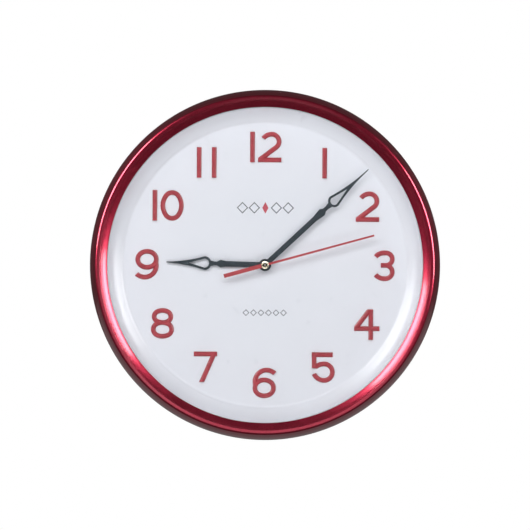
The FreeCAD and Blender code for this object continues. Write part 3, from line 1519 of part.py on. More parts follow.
# ---------------------------------------------------------------- circuit
board_front = MID_PLATE_DEPTH
board_back = board_front - BOARD_THICKNESS
board = block(BOARD_LEFT, BOARD_RIGHT, board_back, board_front, BOARD_BOTTOM, BOARD_TOP)
export("circuit_board", board)

chip = Part.makeCone(
    CHIP_RADIUS,
    CHIP_CREST_RADIUS,
    CHIP_HEIGHT,
    front_point(BOARD_LEFT + CHIP_INSET, BOARD_BOTTOM + CHIP_LIFT, board_back),
    Vector(0, 1, 0),
)
export("chip_cap", chip)

crystal = Part.makeCylinder(
    CRYSTAL_RADIUS,
    CRYSTAL_LENGTH,
    front_point(
        BOARD_LEFT + CRYSTAL_INSET, BOARD_BOTTOM + CRYSTAL_LIFT, board_back - CRYSTAL_RADIUS
    ),
    Vector(1, 0, 0),
)
export("crystal_can", crystal)

# ---------------------------------------------------------------- cell and contacts
contact_face = inner_half - CONTACT_WALL_GAP - CONTACT_SHEET
contact_back = inner_half - CONTACT_WALL_GAP
strip_far = STRIP_DEPTH + STRIP_WIDTH
contact_near = cell_depth - CONTACT_WIDTH / 2
contact_far = cell_depth + CONTACT_WIDTH / 2
contact_bottom = cell_z - CONTACT_HALF_HEIGHT
contact_top = cell_z + CONTACT_HALF_HEIGHT
tab_near = board_back - CONTACT_SHEET

positive = fuse_all(
    [
        block(contact_face, contact_back, contact_near, contact_far, contact_bottom, contact_top),
        block(
            contact_face,
            contact_back,
            STRIP_DEPTH,
            strip_far,
            cell_z,
            BOARD_BOTTOM + TAB_LENGTH,
        ),
        block(
            contact_face - TAB_LENGTH,
            contact_back,
            tab_near,
            board_back,
            BOARD_BOTTOM,
            BOARD_BOTTOM + TAB_LENGTH,
        ),
    ]
)
export("positive_contact", positive)

cell_right = contact_face - CELL_CONTACT_GAP
cell_left = cell_right - CELL_LENGTH
tongue_tip = cell_left - CELL_CONTACT_GAP
tongue_root = -contact_face
tongue_points = [
    (tongue_root, contact_bottom),
    (tongue_tip, cell_z),
    (tongue_tip, cell_z + CONTACT_SHEET),
    (tongue_tip - CONTACT_SHEET, cell_z + CONTACT_SHEET),
    (tongue_root, contact_bottom + 2 * CONTACT_SHEET),
]
top_strip_near = inner_half - CONTACT_WALL_GAP - CONTACT_SHEET
negative = fuse_all(
    [
        block(-contact_back, -contact_face, contact_near, contact_far, contact_bottom, contact_top),
        plate(tongue_points, contact_near + CONTACT_SHEET, contact_far - CONTACT_SHEET),
        block(
            -contact_back,
            -contact_face,
            STRIP_DEPTH,
            strip_far,
            cell_z,
            top_strip_near + CONTACT_SHEET,
        ),
        block(
            -contact_back,
            BOARD_LEFT + TAB_LENGTH,
            STRIP_DEPTH,
            strip_far,
            top_strip_near,
            top_strip_near + CONTACT_SHEET,
        ),
        block(
            BOARD_LEFT,
            BOARD_LEFT + TAB_LENGTH,
            tab_near,
            board_back,
            BOARD_TOP - TAB_LENGTH,
            top_strip_near + CONTACT_SHEET,
        ),
    ]
)
export("negative_contact", negative)

can_right = cell_right - CELL_NUB_LENGTH
can = Part.makeCylinder(
    CELL_RADIUS, can_right - cell_left, front_point(cell_left, cell_z, cell_depth), Vector(1, 0, 0)
)
can = can.makeChamfer(CELL_EDGE, [e for e in can.Edges if e.Curve.TypeId == "Part::GeomCircle"])
nub = Part.makeCylinder(
    CELL_NUB_RADIUS,
    CELL_NUB_LENGTH,
    front_point(can_right, cell_z, cell_depth),
    Vector(1, 0, 0),
)
export("aa_cell", can.fuse(nub))
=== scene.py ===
"""The wall clock as it looks, built in the CAD model's frame: +X right, +Z up, front towards -Y."""
import json
import math

import bpy
from mathutils import Matrix, Vector


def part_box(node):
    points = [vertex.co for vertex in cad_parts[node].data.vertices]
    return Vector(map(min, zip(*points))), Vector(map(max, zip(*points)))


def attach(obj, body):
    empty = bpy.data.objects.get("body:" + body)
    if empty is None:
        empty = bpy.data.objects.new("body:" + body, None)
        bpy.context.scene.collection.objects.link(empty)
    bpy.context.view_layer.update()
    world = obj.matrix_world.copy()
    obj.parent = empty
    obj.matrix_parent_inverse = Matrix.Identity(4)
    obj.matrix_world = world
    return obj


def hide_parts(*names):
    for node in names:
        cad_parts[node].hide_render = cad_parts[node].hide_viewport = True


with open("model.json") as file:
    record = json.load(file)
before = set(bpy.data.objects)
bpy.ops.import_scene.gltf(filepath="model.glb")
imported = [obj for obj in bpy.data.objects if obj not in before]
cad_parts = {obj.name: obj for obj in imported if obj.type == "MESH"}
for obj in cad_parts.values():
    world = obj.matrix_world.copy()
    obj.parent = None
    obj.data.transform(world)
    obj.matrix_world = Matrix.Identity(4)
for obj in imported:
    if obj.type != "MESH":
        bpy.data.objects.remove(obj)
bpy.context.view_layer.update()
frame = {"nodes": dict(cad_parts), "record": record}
scene = bpy.context.scene

# ---------------------------------------------------------------- sizes, in millimetres
# Round pieces are given by (radius, depth). Depth 0 is at the wall, and CASE_DEPTH at the front.
MM = 0.001
low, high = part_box("bezel_ring")
CASE_RADIUS = (high.x - low.x) / 2 / MM
CASE_DEPTH = (high.y - low.y) / MM

LIP_RADIUS = 134.9
GLASS_RADIUS = LIP_RADIUS + 4.1
GLASS_FRONT = 36.0
GLASS_BACK = GLASS_FRONT - 2.0
LIP_DEPTH = GLASS_FRONT + 1.2

CASE_INNER_RADIUS = LIP_RADIUS + 12.7
BACK_CHAMFER = 0.6
FLANK_START_DEPTH = 10.0
FLANK_MID_DEPTH = 27.0
FLANK_MID = (CASE_RADIUS - 1.1, FLANK_MID_DEPTH)
SHOULDER = (CASE_RADIUS - 4.6, CASE_DEPTH - 3.0)
SHOULDER_MID = (CASE_RADIUS - 5.35, CASE_DEPTH - 1.1)
CREST = (CASE_RADIUS - 6.6, CASE_DEPTH)
CREST_INNER = (CASE_RADIUS - 8.9, CASE_DEPTH - 0.5)
SLOPE_MID = (LIP_RADIUS + 3.45, GLASS_FRONT + 4.0)
SKIRT_INNER_RADIUS = GLASS_RADIUS + 0.4
SKIRT_OUTER_RADIUS = SKIRT_INNER_RADIUS + 1.8
SKIRT_END_DEPTH = GLASS_BACK - 8.0
CAVITY_TOP = (LIP_RADIUS + 8.1, GLASS_FRONT + 3.5)
CAVITY_MID = (LIP_RADIUS + 11.6, FLANK_MID_DEPTH)

SHAFT_HOLE_RADIUS = 4.25
DIAL_FRONT = GLASS_BACK - 13.0
DIAL_BACK = DIAL_FRONT - 2.0
DIAL_MID_RADIUS = 60.0
COVE_TOP_RADIUS = LIP_RADIUS - 0.7
COVE_START = (COVE_TOP_RADIUS - 11.6, DIAL_FRONT + 1.3)
COVE_MID = (COVE_TOP_RADIUS - 4.9, DIAL_FRONT + 6.25)
DIAL_FLAT_RADIUS = COVE_START[0] - 3.2
COVE_ROUND_MID = (DIAL_FLAT_RADIUS + 1.75, DIAL_FRONT + 0.28)
COVE_BACK_RADIUS = LIP_RADIUS + 0.8
COVE_BACK_MID = (LIP_RADIUS - 4.62, DIAL_BACK + 6.16)
COVE_BACK_START_RADIUS = LIP_RADIUS - 10.8
FLANGE_BACK = GLASS_BACK - 2.0

BACK_ROUNDING = 0.4
INNER_ROUNDING = 0.25
CREST_ROUNDING = 0.5
LIP_ROUNDING = 0.15
GLASS_ROUNDING = 0.2
WELD_REACH = 0.002

# How far edges are softened, by the start of a CAD piece's name, and on every other piece.
EDGES = {
    "numeral": 0.32,
    "hour_hand": 0.16,
    "minute_hand": 0.16,
    "second_hand": 0.12,
    "rear_cover": 0.3,
    "movement": 0.25,
    "setting_knob": 0.2,
    "case_screws": 0.2,
}
FINE_EDGE = 0.06

# Edges steeper than these, in degrees, stay sharp on turned pieces and are softened on the others.
SHARP_ANGLE = 32
BEVEL_ANGLE = 28

# How many steps a turned piece takes round its circle.
TURNS = 288
RING_TURNS = 384

EYELET_SHADE_REACH = 4.0
CELL_HALF_LENGTH = 26.0

INK_HEIGHT = 0.05
INK_THICKNESS = 0.04
UPPER_LEVEL = 48.7
UPPER_NEAR = 9.4
UPPER_FAR = 19.5
UPPER_HALF_WIDTH = 4.9
UPPER_HALF_HEIGHT = 5.0
UPPER_LINE = 1.15
CENTRE_HALF_WIDTH = 2.6
LOWER_LEVEL = -40.7
LOWER_COUNT = 6
LOWER_PITCH = 6.4
LOWER_HALF = 2.9
LOWER_LINE = 0.85

# ---------------------------------------------------------------- stage, in metres and degrees
FLOOR_LEVEL = -6.5
FLOOR_HALF = 20
FLOOR_LAMP_LEVEL = -2.5
FLOOR_LAMP_SIDE = 36
FLOOR_LAMP_RADIANCE = 0.8
AMBIENT_STRENGTH = 0.04
BACKDROP_STRENGTH = 1.0
# The point in the clock that the soft boxes are aimed at.
AIM = Vector((0, -0.02, 0))
CAMERA_DISTANCE = 6.0
CAMERA_ROLL = -0.37
# In millimetres, like the focal length worked out from it.
SENSOR_WIDTH = 36.0
# How far in front of the wall the outline seen by the camera lies.
OUTLINE_DEPTH = 0.014
# The case's diameter as a share of the picture's width.
CASE_SHARE = 0.660868


# ---------------------------------------------------------------- material helpers
class Shader:
    """A Principled material with short calls for the nodes that feed it."""

    def __init__(self, name, colour, metallic, roughness, **sockets):
        self.material = bpy.data.materials.new(name)
        self.material.use_nodes = True
        self.tree = self.material.node_tree
        self.bsdf = self.tree.nodes["Principled BSDF"]
        self.set("Base Color", (*colour, 1))
        self.set("Metallic", metallic)
        self.set("Roughness", roughness)
        for key, value in sockets.items():
            self.set(key.replace("_", " "), value)
        self.place = self.node("ShaderNodeTexCoord").outputs["Object"]

    def set(self, socket, value):
        self.bsdf.inputs[socket].default_value = value

    def node(self, kind, **settings):
        made = self.tree.nodes.new(kind)
        for key, value in settings.items():
            setattr(made, key, value)
        return made

    def link(self, source, target):
        self.tree.links.new(source, target)

    def noise(self, scale, detail=3.0, roughness=0.5, stretch=None):
        """Noise between 0 and 1, finer with a larger scale, and along an axis with a larger stretch."""
        made = self.node("ShaderNodeTexNoise")
        made.inputs["Scale"].default_value = scale
        made.inputs["Detail"].default_value = detail
        made.inputs["Roughness"].default_value = roughness
        place = self.place
        if stretch:
            mapping = self.node("ShaderNodeMapping")
            mapping.inputs["Scale"].default_value = stretch
            self.link(place, mapping.inputs["Vector"])
            place = mapping.outputs["Vector"]
        self.link(place, made.inputs["Vector"])
        return made.outputs["Fac"]

    def spread(self, source, low, high, first=0.0, last=1.0):
        """Maps low to first and high to last, and holds both ends."""
        made = self.node("ShaderNodeMapRange")
        made.inputs["From Min"].default_value = low
        made.inputs["From Max"].default_value = high
        made.inputs["To Min"].default_value = first
        made.inputs["To Max"].default_value = last
        self.link(source, made.inputs["Value"])
        return made.outputs["Result"]

    def paint(self, source, stops):
        """Colours the material along (position, colour) stops."""
        made = self.node("ShaderNodeValToRGB")
        elements = made.color_ramp.elements
        while len(elements) < len(stops):
            elements.new(0.5)
        for element, (position, colour) in zip(elements, stops):
            element.position = position
            element.color = (*colour, 1)
        self.link(source, made.inputs["Fac"])
        self.link(made.outputs["Color"], self.bsdf.inputs["Base Color"])

    def vary(self, source, dark, light, low=0.3, high=0.7):
        self.paint(source, [(low, dark), (high, light)])

    def rough(self, source, smooth, coarse):
        self.link(self.spread(source, 0.3, 0.7, smooth, coarse), self.bsdf.inputs["Roughness"])

    def bump(self, source, height, strength):
        made = self.node("ShaderNodeBump")
        made.inputs["Distance"].default_value = height
        made.inputs["Strength"].default_value = strength
        self.link(source, made.inputs["Height"])
        self.link(made.outputs["Normal"], self.bsdf.inputs["Normal"])


def red_lacquer():
    s = Shader(
        "red_lacquer", (0.42, 0.018, 0.05), 0.86, 0.31,
        Coat_Weight=0.8, Coat_Roughness=0.13, Coat_IOR=1.5,
    )
    s.vary(s.noise(900, 2.0), (0.36, 0.014, 0.04), (0.48, 0.024, 0.062))
    s.rough(s.noise(60, 3.0), 0.29, 0.35)
    s.bump(s.noise(1100, 1.0), 0.000002, 0.3)
    return s.material


def white_dial():
    s = Shader("white_dial", (0.79, 0.815, 0.88), 0.0, 0.3, Coat_Weight=0.35, Coat_Roughness=0.12)
    s.vary(s.noise(24, 4.0), (0.782, 0.808, 0.872), (0.798, 0.822, 0.888))
    s.rough(s.noise(90, 3.0), 0.27, 0.34)
    s.bump(s.noise(700, 2.0), 0.000004, 0.2)
    return s.material


def numeral_red():
    s = Shader("numeral_red", (0.39, 0.044, 0.058), 0.0, 0.34, Coat_Weight=0.25, Coat_Roughness=0.15)
    s.vary(s.noise(160, 4.0), (0.35, 0.037, 0.050), (0.43, 0.051, 0.066))
    s.rough(s.noise(400, 2.0), 0.3, 0.42)
    s.bump(s.noise(1800, 2.0), 0.00001, 0.5)
    return s.material


def dark_hand():
    s = Shader("dark_hand", (0.026, 0.038, 0.048), 0.1, 0.42, Coat_Weight=0.2, Coat_Roughness=0.2)
    s.vary(s.noise(300, 4.0), (0.020, 0.031, 0.040), (0.032, 0.045, 0.056))
    s.rough(s.noise(800, 2.0), 0.32, 0.44)
    s.bump(s.noise(2400, 2.0), 0.000008, 0.5)
    return s.material


def red_hand():
    s = Shader("red_hand", (0.43, 0.06, 0.07), 0.1, 0.34, Coat_Weight=0.3, Coat_Roughness=0.12)
    s.vary(s.noise(300, 4.0), (0.39, 0.05, 0.06), (0.47, 0.07, 0.08))
    s.rough(s.noise(900, 2.0), 0.3, 0.4)
    return s.material


def metal(name, dark, light, smooth, coarse, grain=400, stretch=(1, 1, 1)):
    s = Shader(name, light, 1.0, (smooth + coarse) / 2)
    source = s.noise(grain, 4.0, 0.6, stretch)
    s.vary(source, dark, light)
    s.rough(source, smooth, coarse)
    s.bump(source, 0.000006, 0.5)
    return s.material


def eyelet_brass():
    """Polished brass, with painted shade that makes it near-black in the hollow round the middle, where
    the cup lies in shade.
    """
    brass = (0.80, 0.74, 0.58)
    painted_hollow_shade = (0.05, 0.045, 0.035)
    s = Shader("eyelet_brass", brass, 1.0, 0.16)
    split = s.node("ShaderNodeSeparateXYZ")
    s.link(s.place, split.inputs["Vector"])
    flat = s.node("ShaderNodeCombineXYZ")
    s.link(split.outputs["X"], flat.inputs["X"])
    s.link(split.outputs["Z"], flat.inputs["Z"])
    reach = s.node("ShaderNodeVectorMath", operation="LENGTH")
    s.link(flat.outputs["Vector"], reach.inputs[0])
    # Painted shade: the colour turns near-black towards the middle, standing in for the shade inside the
    # eyelet's cup.
    s.paint(s.spread(reach.outputs["Value"], 0.0, EYELET_SHADE_REACH * MM), [(0.44, painted_hollow_shade), (0.50, brass)])
    s.rough(s.noise(900, 3.0), 0.14, 0.24)
    return s.material


def plastic(name, dark, light, smooth, coarse, grain=900, bump=0.00003):
    s = Shader(name, light, 0.0, (smooth + coarse) / 2)
    s.vary(s.noise(grain / 12, 4.0), dark, light)
    s.rough(s.noise(grain / 3, 3.0), smooth, coarse)
    s.bump(s.noise(grain, 3.0), bump, 0.6)
    return s.material


def winding_copper():
    s = Shader("copper", (0.72, 0.30, 0.14), 1.0, 0.3)
    wave = s.node("ShaderNodeTexWave", bands_direction="Z")
    wave.inputs["Scale"].default_value = 1400
    wave.inputs["Distortion"].default_value = 0.6
    s.link(s.place, wave.inputs["Vector"])
    s.vary(wave.outputs["Fac"], (0.30, 0.10, 0.04), (0.80, 0.36, 0.18), 0.1, 0.9)
    s.bump(wave.outputs["Fac"], 0.00005, 0.8)
    return s.material


def board():
    s = Shader("board", (0.35, 0.22, 0.08), 0.0, 0.45, Coat_Weight=0.3, Coat_Roughness=0.2)
    s.vary(s.noise(700, 5.0, 0.7, (1, 1, 6)), (0.28, 0.16, 0.05), (0.42, 0.27, 0.10))
    s.bump(s.noise(1600, 2.0), 0.00001, 0.5)
    return s.material


def clear_glass():
    """Thin clear glass. Light on its way to the dial passes straight through it."""
    s = Shader("clear_lens", (1.0, 1.0, 1.0), 0.0, 0.0, IOR=1.46, Transmission_Weight=1.0)
    s.rough(s.noise(30, 2.0), 0.0, 0.004)
    clear = s.node("ShaderNodeBsdfTransparent")
    path = s.node("ShaderNodeLightPath")
    either = s.node("ShaderNodeMath", operation="MAXIMUM")
    s.link(path.outputs["Is Shadow Ray"], either.inputs[0])
    s.link(path.outputs["Is Diffuse Ray"], either.inputs[1])
    mix = s.node("ShaderNodeMixShader")
    s.link(either.outputs["Value"], mix.inputs["Fac"])
    s.link(s.bsdf.outputs["BSDF"], mix.inputs[1])
    s.link(clear.outputs["BSDF"], mix.inputs[2])
    s.link(mix.outputs["Shader"], s.tree.nodes["Material Output"].inputs["Surface"])
    return s.material


def cell_sleeve():
    """A printed sleeve in two plain bands, with no lettering."""
    s = Shader("cell", (0.05, 0.16, 0.36), 0.35, 0.28, Coat_Weight=0.8, Coat_Roughness=0.08)
    split = s.node("ShaderNodeSeparateXYZ")
    s.link(s.place, split.inputs["Vector"])
    along = s.spread(split.outputs["X"], -CELL_HALF_LENGTH * MM, CELL_HALF_LENGTH * MM)
    stops = [
        (0.0, (0.55, 0.55, 0.56)),
        (0.055, (0.03, 0.10, 0.26)),
        (0.70, (0.05, 0.16, 0.36)),
        (0.715, (0.62, 0.40, 0.12)),
        (0.945, (0.66, 0.46, 0.16)),
        (0.96, (0.62, 0.62, 0.63)),
    ]
    s.paint(along, stops)
    s.rough(s.noise(500, 2.0), 0.22, 0.34)
    return s.material


def pale_floor():
    shade = 0.86
    s = Shader("floor_pale", (shade, shade, shade), 0.0, 0.9)
    s.vary(s.noise(3.0, 3.0), (shade * 0.99,) * 3, (shade,) * 3)
    return s.material


LOOK = {
    "red_lacquer": red_lacquer(),
    "clear_lens": clear_glass(),
    "white_dial": white_dial(),
    "numeral_red": numeral_red(),
    "grey_cover": plastic("grey_cover", (0.085, 0.086, 0.090), (0.098, 0.099, 0.104), 0.42, 0.6, 1400),
    "screw_steel": metal("screw_steel", (0.42, 0.42, 0.43), (0.66, 0.66, 0.67), 0.22, 0.42),
    "dark_hand": dark_hand(),
    "red_hand": red_hand(),
    "brass": eyelet_brass(),
    "white_acetal": plastic("white_acetal", (0.66, 0.66, 0.63), (0.76, 0.76, 0.72), 0.3, 0.42),
    "black_plastic": plastic(
        "black_plastic", (0.012, 0.012, 0.014), (0.022, 0.022, 0.025), 0.36, 0.55, 1600
    ),
    "magnet": metal("magnet", (0.08, 0.08, 0.09), (0.16, 0.16, 0.17), 0.4, 0.6, 1600),
    "bright_steel": metal(
        "bright_steel", (0.50, 0.51, 0.52), (0.70, 0.71, 0.72), 0.2, 0.36, 500, (1, 1, 8)
    ),
    "copper": winding_copper(),
    "board": board(),
    "cell": cell_sleeve(),
    "print_grey": plastic(
        "print_grey", (0.10, 0.115, 0.14), (0.14, 0.155, 0.18), 0.4, 0.55, bump=0.000004
    ),
    "print_red": plastic(
        "print_red", (0.46, 0.07, 0.10), (0.54, 0.10, 0.13), 0.4, 0.55, bump=0.000004
    ),
}

SLOT_OF = {s["node"]: s["material_slot"] for s in frame["record"]["subparts"]}
BODY_OF = {n: body for body, nodes in frame["record"]["behaviour"]["bodies"].items() for n in nodes}


# ---------------------------------------------------------------- mesh helpers
def add(name, mesh):
    obj = bpy.data.objects.new(name, mesh)
    scene.collection.objects.link(obj)
    return obj


def dress(obj, look, body):
    """Gives a piece its material, and the body it moves with."""
    obj.data.materials.clear()
    obj.data.materials.append(LOOK[look])
    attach(obj, body)


def stand_for(obj, node):
    """Gives a piece the look of its CAD node, and puts it in the node's place."""
    slot = SLOT_OF[node]
    dress(obj, slot, BODY_OF[node])
    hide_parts(node)


def softened(node, edge, segments):
    """A copy of a CAD piece with softened edges, which stands for it."""
    mesh = frame["nodes"][node].data.copy()
    mesh.shade_smooth()
    obj = add(node + "_look", mesh)
    weld = obj.modifiers.new("weld", "WELD")
    weld.merge_threshold = WELD_REACH * MM
    bevel = obj.modifiers.new("edge", "BEVEL")
    bevel.width = edge * MM
    bevel.segments = segments
    bevel.limit_method = "ANGLE"
    bevel.angle_limit = math.radians(BEVEL_ANGLE)
    bevel.use_clamp_overlap = True
    normals = obj.modifiers.new("normals", "WEIGHTED_NORMAL")
    normals.keep_sharp = False
    stand_for(obj, node)


def arc(start, middle, end, steps):
    """Points on a smooth curve through three points, without the first."""
    a, b, c = Vector(start), Vector(middle), Vector(end)
    control = b * 2 - (a + c) / 2
    out = []
    for k in range(1, steps + 1):
        t = k / steps
        out.append(tuple(a * (1 - t) ** 2 + control * 2 * t * (1 - t) + c * t * t))
    return out


def metres(points):
    return [(r * MM, d * MM) for r, d in points]


def crisp(points):
    """Corners that are left as they are."""
    return [(point, 0.0) for point in points]


def rounded(corners, steps=6):
    """A closed outline in metres, from (point, rounding) corners in millimetres."""
    points = [Vector(point) for point in metres(point for point, rounding in corners)]
    out = []
    for i, (here, (_, rounding)) in enumerate(zip(points, corners)):
        if rounding <= 0:
            out.append(here)
            continue
        back = points[i - 1] - here
        ahead = points[(i + 1) % len(points)] - here
        half = back.angle(ahead) / 2
        reach = min(rounding * MM / math.tan(half), back.length * 0.49, ahead.length * 0.49)
        start = here + back.normalized() * reach
        end = here + ahead.normalized() * reach
        for k in range(steps + 1):
            t = k / steps
            out.append(start * (1 - t) ** 2 + here * 2 * t * (1 - t) + end * t * t)
    return out


def turned(node, outline, turns=TURNS, closed=True):
    """Sweeps an outline of (radius, depth) in metres about the hands' axis, to stand for a CAD piece."""
    vertices = []
    for k in range(turns):
        angle = 2 * math.pi * k / turns
        for r, d in outline:
            vertices.append((r * math.cos(angle), -d, r * math.sin(angle)))
    count = len(outline)
    spans = count if closed else count - 1
    faces = []
    for k in range(turns):
        this = k * count
        following = (k + 1) % turns * count
        for i in range(spans):
            j = (i + 1) % count
            faces.append((this + i, this + j, following + j, following + i))
    mesh = bpy.data.meshes.new(node + "_look")
    mesh.from_pydata(vertices, [], faces)
    mesh.shade_smooth()
    obj = add(node + "_look", mesh)
    bpy.context.view_layer.objects.active = obj
    bpy.ops.object.mode_set(mode="EDIT")
    bpy.ops.mesh.select_all(action="SELECT")
    bpy.ops.mesh.normals_make_consistent(inside=False)
    bpy.ops.object.mode_set(mode="OBJECT")
    mesh.set_sharp_from_angle(angle=math.radians(SHARP_ANGLE))
    stand_for(obj, node)


# ---------------------------------------------------------------- bezel
flank_start = (CASE_RADIUS, FLANK_START_DEPTH)
ring = [
    ((CASE_INNER_RADIUS, 0.0), INNER_ROUNDING),
    ((CASE_RADIUS - BACK_CHAMFER, 0.0), BACK_ROUNDING),
    ((CASE_RADIUS, BACK_CHAMFER), BACK_ROUNDING),
]
ring += crisp([flank_start])
ring += crisp(arc(flank_start, FLANK_MID, SHOULDER, 18))
ring += crisp(arc(SHOULDER, SHOULDER_MID, CREST, 10))
ring += [(CREST_INNER, CREST_ROUNDING)]
ring += crisp(arc(CREST_INNER, SLOPE_MID, (LIP_RADIUS, LIP_DEPTH), 12))
ring += [((LIP_RADIUS, GLASS_FRONT), LIP_ROUNDING)]
ring += crisp(
    [
        (SKIRT_INNER_RADIUS, GLASS_FRONT),
        (SKIRT_INNER_RADIUS, SKIRT_END_DEPTH),
        (SKIRT_OUTER_RADIUS, SKIRT_END_DEPTH),
        (SKIRT_OUTER_RADIUS, CAVITY_TOP[1]),
        CAVITY_TOP,
    ]
)
ring += crisp(arc(CAVITY_TOP, CAVITY_MID, (CASE_INNER_RADIUS, FLANK_START_DEPTH), 8))
turned("bezel_ring", rounded(ring), RING_TURNS)

# ---------------------------------------------------------------- dial tray
cove_back = (COVE_BACK_RADIUS, FLANGE_BACK)
tray = [
    (SHAFT_HOLE_RADIUS, DIAL_BACK),
    (SHAFT_HOLE_RADIUS, DIAL_FRONT),
    (DIAL_MID_RADIUS, DIAL_FRONT),
    (DIAL_FLAT_RADIUS, DIAL_FRONT),
]
tray += arc((DIAL_FLAT_RADIUS, DIAL_FRONT), COVE_ROUND_MID, COVE_START, 8)
tray += arc(COVE_START, COVE_MID, (COVE_TOP_RADIUS, GLASS_BACK), 16)
tray += [(GLASS_RADIUS, GLASS_BACK), (GLASS_RADIUS, FLANGE_BACK), cove_back]
tray += arc(cove_back, COVE_BACK_MID, (COVE_BACK_START_RADIUS, DIAL_BACK), 8)
turned("dial_tray", metres(tray))

# ---------------------------------------------------------------- glass
glass = [
    ((0.0, GLASS_BACK), 0.0),
    ((GLASS_RADIUS, GLASS_BACK), GLASS_ROUNDING),
    ((GLASS_RADIUS, GLASS_FRONT), GLASS_ROUNDING),
    ((0.0, GLASS_FRONT), 0.0),
]
turned("front_lens", rounded(glass), closed=False)

# ---------------------------------------------------------------- every other CAD piece, edges softened
TURNED = ("bezel_ring", "dial_tray", "front_lens")
for node in sorted(set(frame["nodes"]) - set(TURNED)):
    edge = next((width for kind, width in EDGES.items() if node.startswith(kind)), FINE_EDGE)
    segments = 3 if node.startswith("numeral") else 2
    softened(node, edge, segments)


# ---------------------------------------------------------------- printed ornaments on the dial
def printed(name, shapes, look):
    """Ink a hair above the dial, in shapes given by their outlines in millimetres.

    Each shape has an outer outline and an inner one, which is None when the shape is solid.
    """
    depth = DIAL_FRONT + INK_HEIGHT
    vertices = []
    faces = []
    for outer, inner in shapes:
        first = len(vertices)
        count = len(outer)
        for x, z in outer + (inner or []):
            vertices.append((x * MM, -depth * MM, z * MM))
        if inner:
            for i in range(count):
                j = (i + 1) % count
                faces.append((first + i, first + j, first + count + j, first + count + i))
        else:
            faces.append(tuple(range(first, first + count)))
    mesh = bpy.data.meshes.new(name)
    mesh.from_pydata(vertices, [], faces)
    obj = add(name, mesh)
    film = obj.modifiers.new("film", "SOLIDIFY")
    film.thickness = INK_THICKNESS * MM
    film.offset = 0
    dress(obj, look, "case")


def lozenge(x, z, half_width, half_height):
    return [(x - half_width, z), (x, z - half_height), (x + half_width, z), (x, z + half_height)]


def open_lozenge(x, z, half_width, half_height, line):
    outer = lozenge(x, z, half_width, half_height)
    inner = lozenge(x, z, half_width - line, half_height - line * half_height / half_width)
    return outer, inner


upper = [
    open_lozenge(x, UPPER_LEVEL, UPPER_HALF_WIDTH, UPPER_HALF_HEIGHT, UPPER_LINE)
    for x in (-UPPER_FAR, -UPPER_NEAR, UPPER_NEAR, UPPER_FAR)
]
printed("dial_ornament_upper", upper, "print_grey")

middle = lozenge(0, UPPER_LEVEL, CENTRE_HALF_WIDTH, UPPER_HALF_HEIGHT)
printed("dial_ornament_centre", [(middle, None)], "print_red")

lower = []
for i in range(LOWER_COUNT):
    x = LOWER_PITCH * (i - (LOWER_COUNT - 1) / 2)
    lower.append(open_lozenge(x, LOWER_LEVEL, LOWER_HALF, LOWER_HALF, LOWER_LINE))
printed("dial_ornament_lower", lower, "print_grey")

# ---------------------------------------------------------------- floor
floor_corners = [
    (-FLOOR_HALF, -FLOOR_HALF, 0),
    (FLOOR_HALF, -FLOOR_HALF, 0),
    (FLOOR_HALF, FLOOR_HALF, 0),
    (-FLOOR_HALF, FLOOR_HALF, 0),
]
floor_mesh = bpy.data.meshes.new("floor")
floor_mesh.from_pydata(floor_corners, [], [(0, 1, 2, 3)])
floor_mesh.materials.append(pale_floor())
floor = add("floor", floor_mesh)
floor.location = (0, 0, FLOOR_LEVEL)
# Half a turn only sets how the faint pattern lies.
floor.rotation_euler.z = math.pi
floor.visible_glossy = False

# ---------------------------------------------------------------- surroundings
# White behind the clock for the camera, and almost dark for everything else.
world = bpy.data.worlds.new("studio")
world.use_nodes = True
scene.world = world
tree = world.node_tree
ambient = tree.nodes["Background"]
ambient.inputs["Color"].default_value = (1, 1, 1, 1)
ambient.inputs["Strength"].default_value = AMBIENT_STRENGTH
backdrop = tree.nodes.new("ShaderNodeBackground")
backdrop.inputs["Color"].default_value = (1, 1, 1, 1)
backdrop.inputs["Strength"].default_value = BACKDROP_STRENGTH
ray = tree.nodes.new("ShaderNodeLightPath")
mix = tree.nodes.new("ShaderNodeMixShader")
tree.links.new(ray.outputs["Is Camera Ray"], mix.inputs["Fac"])
tree.links.new(ambient.outputs["Background"], mix.inputs[1])
tree.links.new(backdrop.outputs["Background"], mix.inputs[2])
tree.links.new(mix.outputs["Shader"], tree.nodes["World Output"].inputs["Surface"])


# ---------------------------------------------------------------- lights
def soft_light(name, lean, clock, distance, size, radiance):
    """A soft box aimed at the clock, leaning off the front axis in degrees towards an hour on the dial.

    The first side of its size lies in the plane of the lean, and the second across it.
    """
    angle = math.radians(lean)
    bearing = math.radians(90 - 30 * clock)
    side = Vector((math.cos(bearing), 0, math.sin(bearing)))
    out = side * math.sin(angle) + Vector((0, -1, 0)) * math.cos(angle)
    inwards = side * math.cos(angle) + Vector((0, 1, 0)) * math.sin(angle)
    data = bpy.data.lights.new(name, "AREA")
    data.shape = "RECTANGLE"
    data.size, data.size_y = size
    data.energy = radiance * math.pi * size[0] * size[1]
    obj = add(name, data)
    turn = Matrix((inwards, out.cross(inwards), out)).transposed()
    obj.matrix_world = Matrix.Translation(AIM + out * distance) @ turn.to_4x4()
    obj.visible_camera = False
    return obj


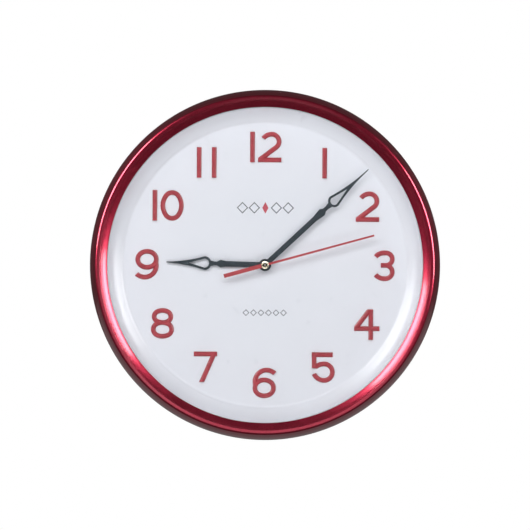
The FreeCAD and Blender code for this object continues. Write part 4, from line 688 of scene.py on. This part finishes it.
# These light the surfaces, and don't show as reflections.
washes = [
    soft_light("wash_upper", lean=33, clock=12.0, distance=2.7, size=(1.4, 2.4), radiance=2.5),
    soft_light("wash_lower", lean=33, clock=6.0, distance=2.7, size=(1.4, 2.4), radiance=1.2),
    soft_light("wash_key", lean=44, clock=10.1, distance=2.0, size=(0.9, 0.9), radiance=2.5),
    soft_light("rear_fill", lean=150, clock=1.5, distance=2.2, size=(1.6, 1.6), radiance=8.0),
]
for light in washes:
    light.visible_glossy = False

soft_light("key", lean=40, clock=10.1, distance=2.0, size=(1.0, 1.0), radiance=1.8)
soft_light("fill", lean=34, clock=2.2, distance=2.2, size=(1.2, 2.0), radiance=0.75)
soft_light("top", lean=30, clock=12.0, distance=2.2, size=(1.4, 1.5), radiance=0.9)
soft_light("bottom", lean=36, clock=6.2, distance=2.2, size=(1.2, 0.7), radiance=0.5)

# These only show as reflections: the long highlights on the ring's inner slope, and its lower flank.
strips = [
    soft_light("strip_left", lean=82, clock=9.9, distance=1.4, size=(0.7, 1.05), radiance=13.0),
    soft_light("strip_right", lean=82, clock=2.5, distance=1.4, size=(0.7, 0.95), radiance=13.0),
    soft_light("behind_low", lean=150, clock=6.0, distance=2.0, size=(1.6, 3.0), radiance=0.13),
]
for light in strips:
    light.visible_diffuse = False

# This hangs below the clock and shines down, so it lights the floor and not the clock.
floor_lamp = bpy.data.lights.new("floor_light", "AREA")
floor_lamp.size = FLOOR_LAMP_SIDE
floor_lamp.energy = FLOOR_LAMP_RADIANCE * math.pi * FLOOR_LAMP_SIDE ** 2
lamp = add("floor_light", floor_lamp)
lamp.location = (0, 0, FLOOR_LAMP_LEVEL)
lamp.visible_camera = False

# ---------------------------------------------------------------- camera
camera_data = bpy.data.cameras.new("camera")
camera_data.sensor_width = SENSOR_WIDTH
case_diameter = 2 * CASE_RADIUS * MM
camera_data.lens = SENSOR_WIDTH * CASE_SHARE * (CAMERA_DISTANCE - OUTLINE_DEPTH) / case_diameter
camera = add("camera", camera_data)
camera.location = (0, -CAMERA_DISTANCE, 0)
camera.rotation_euler = (math.radians(90), math.radians(CAMERA_ROLL), 0)
scene.camera = camera
scene.view_settings.view_transform = "Standard"
scene.view_settings.look = "None"
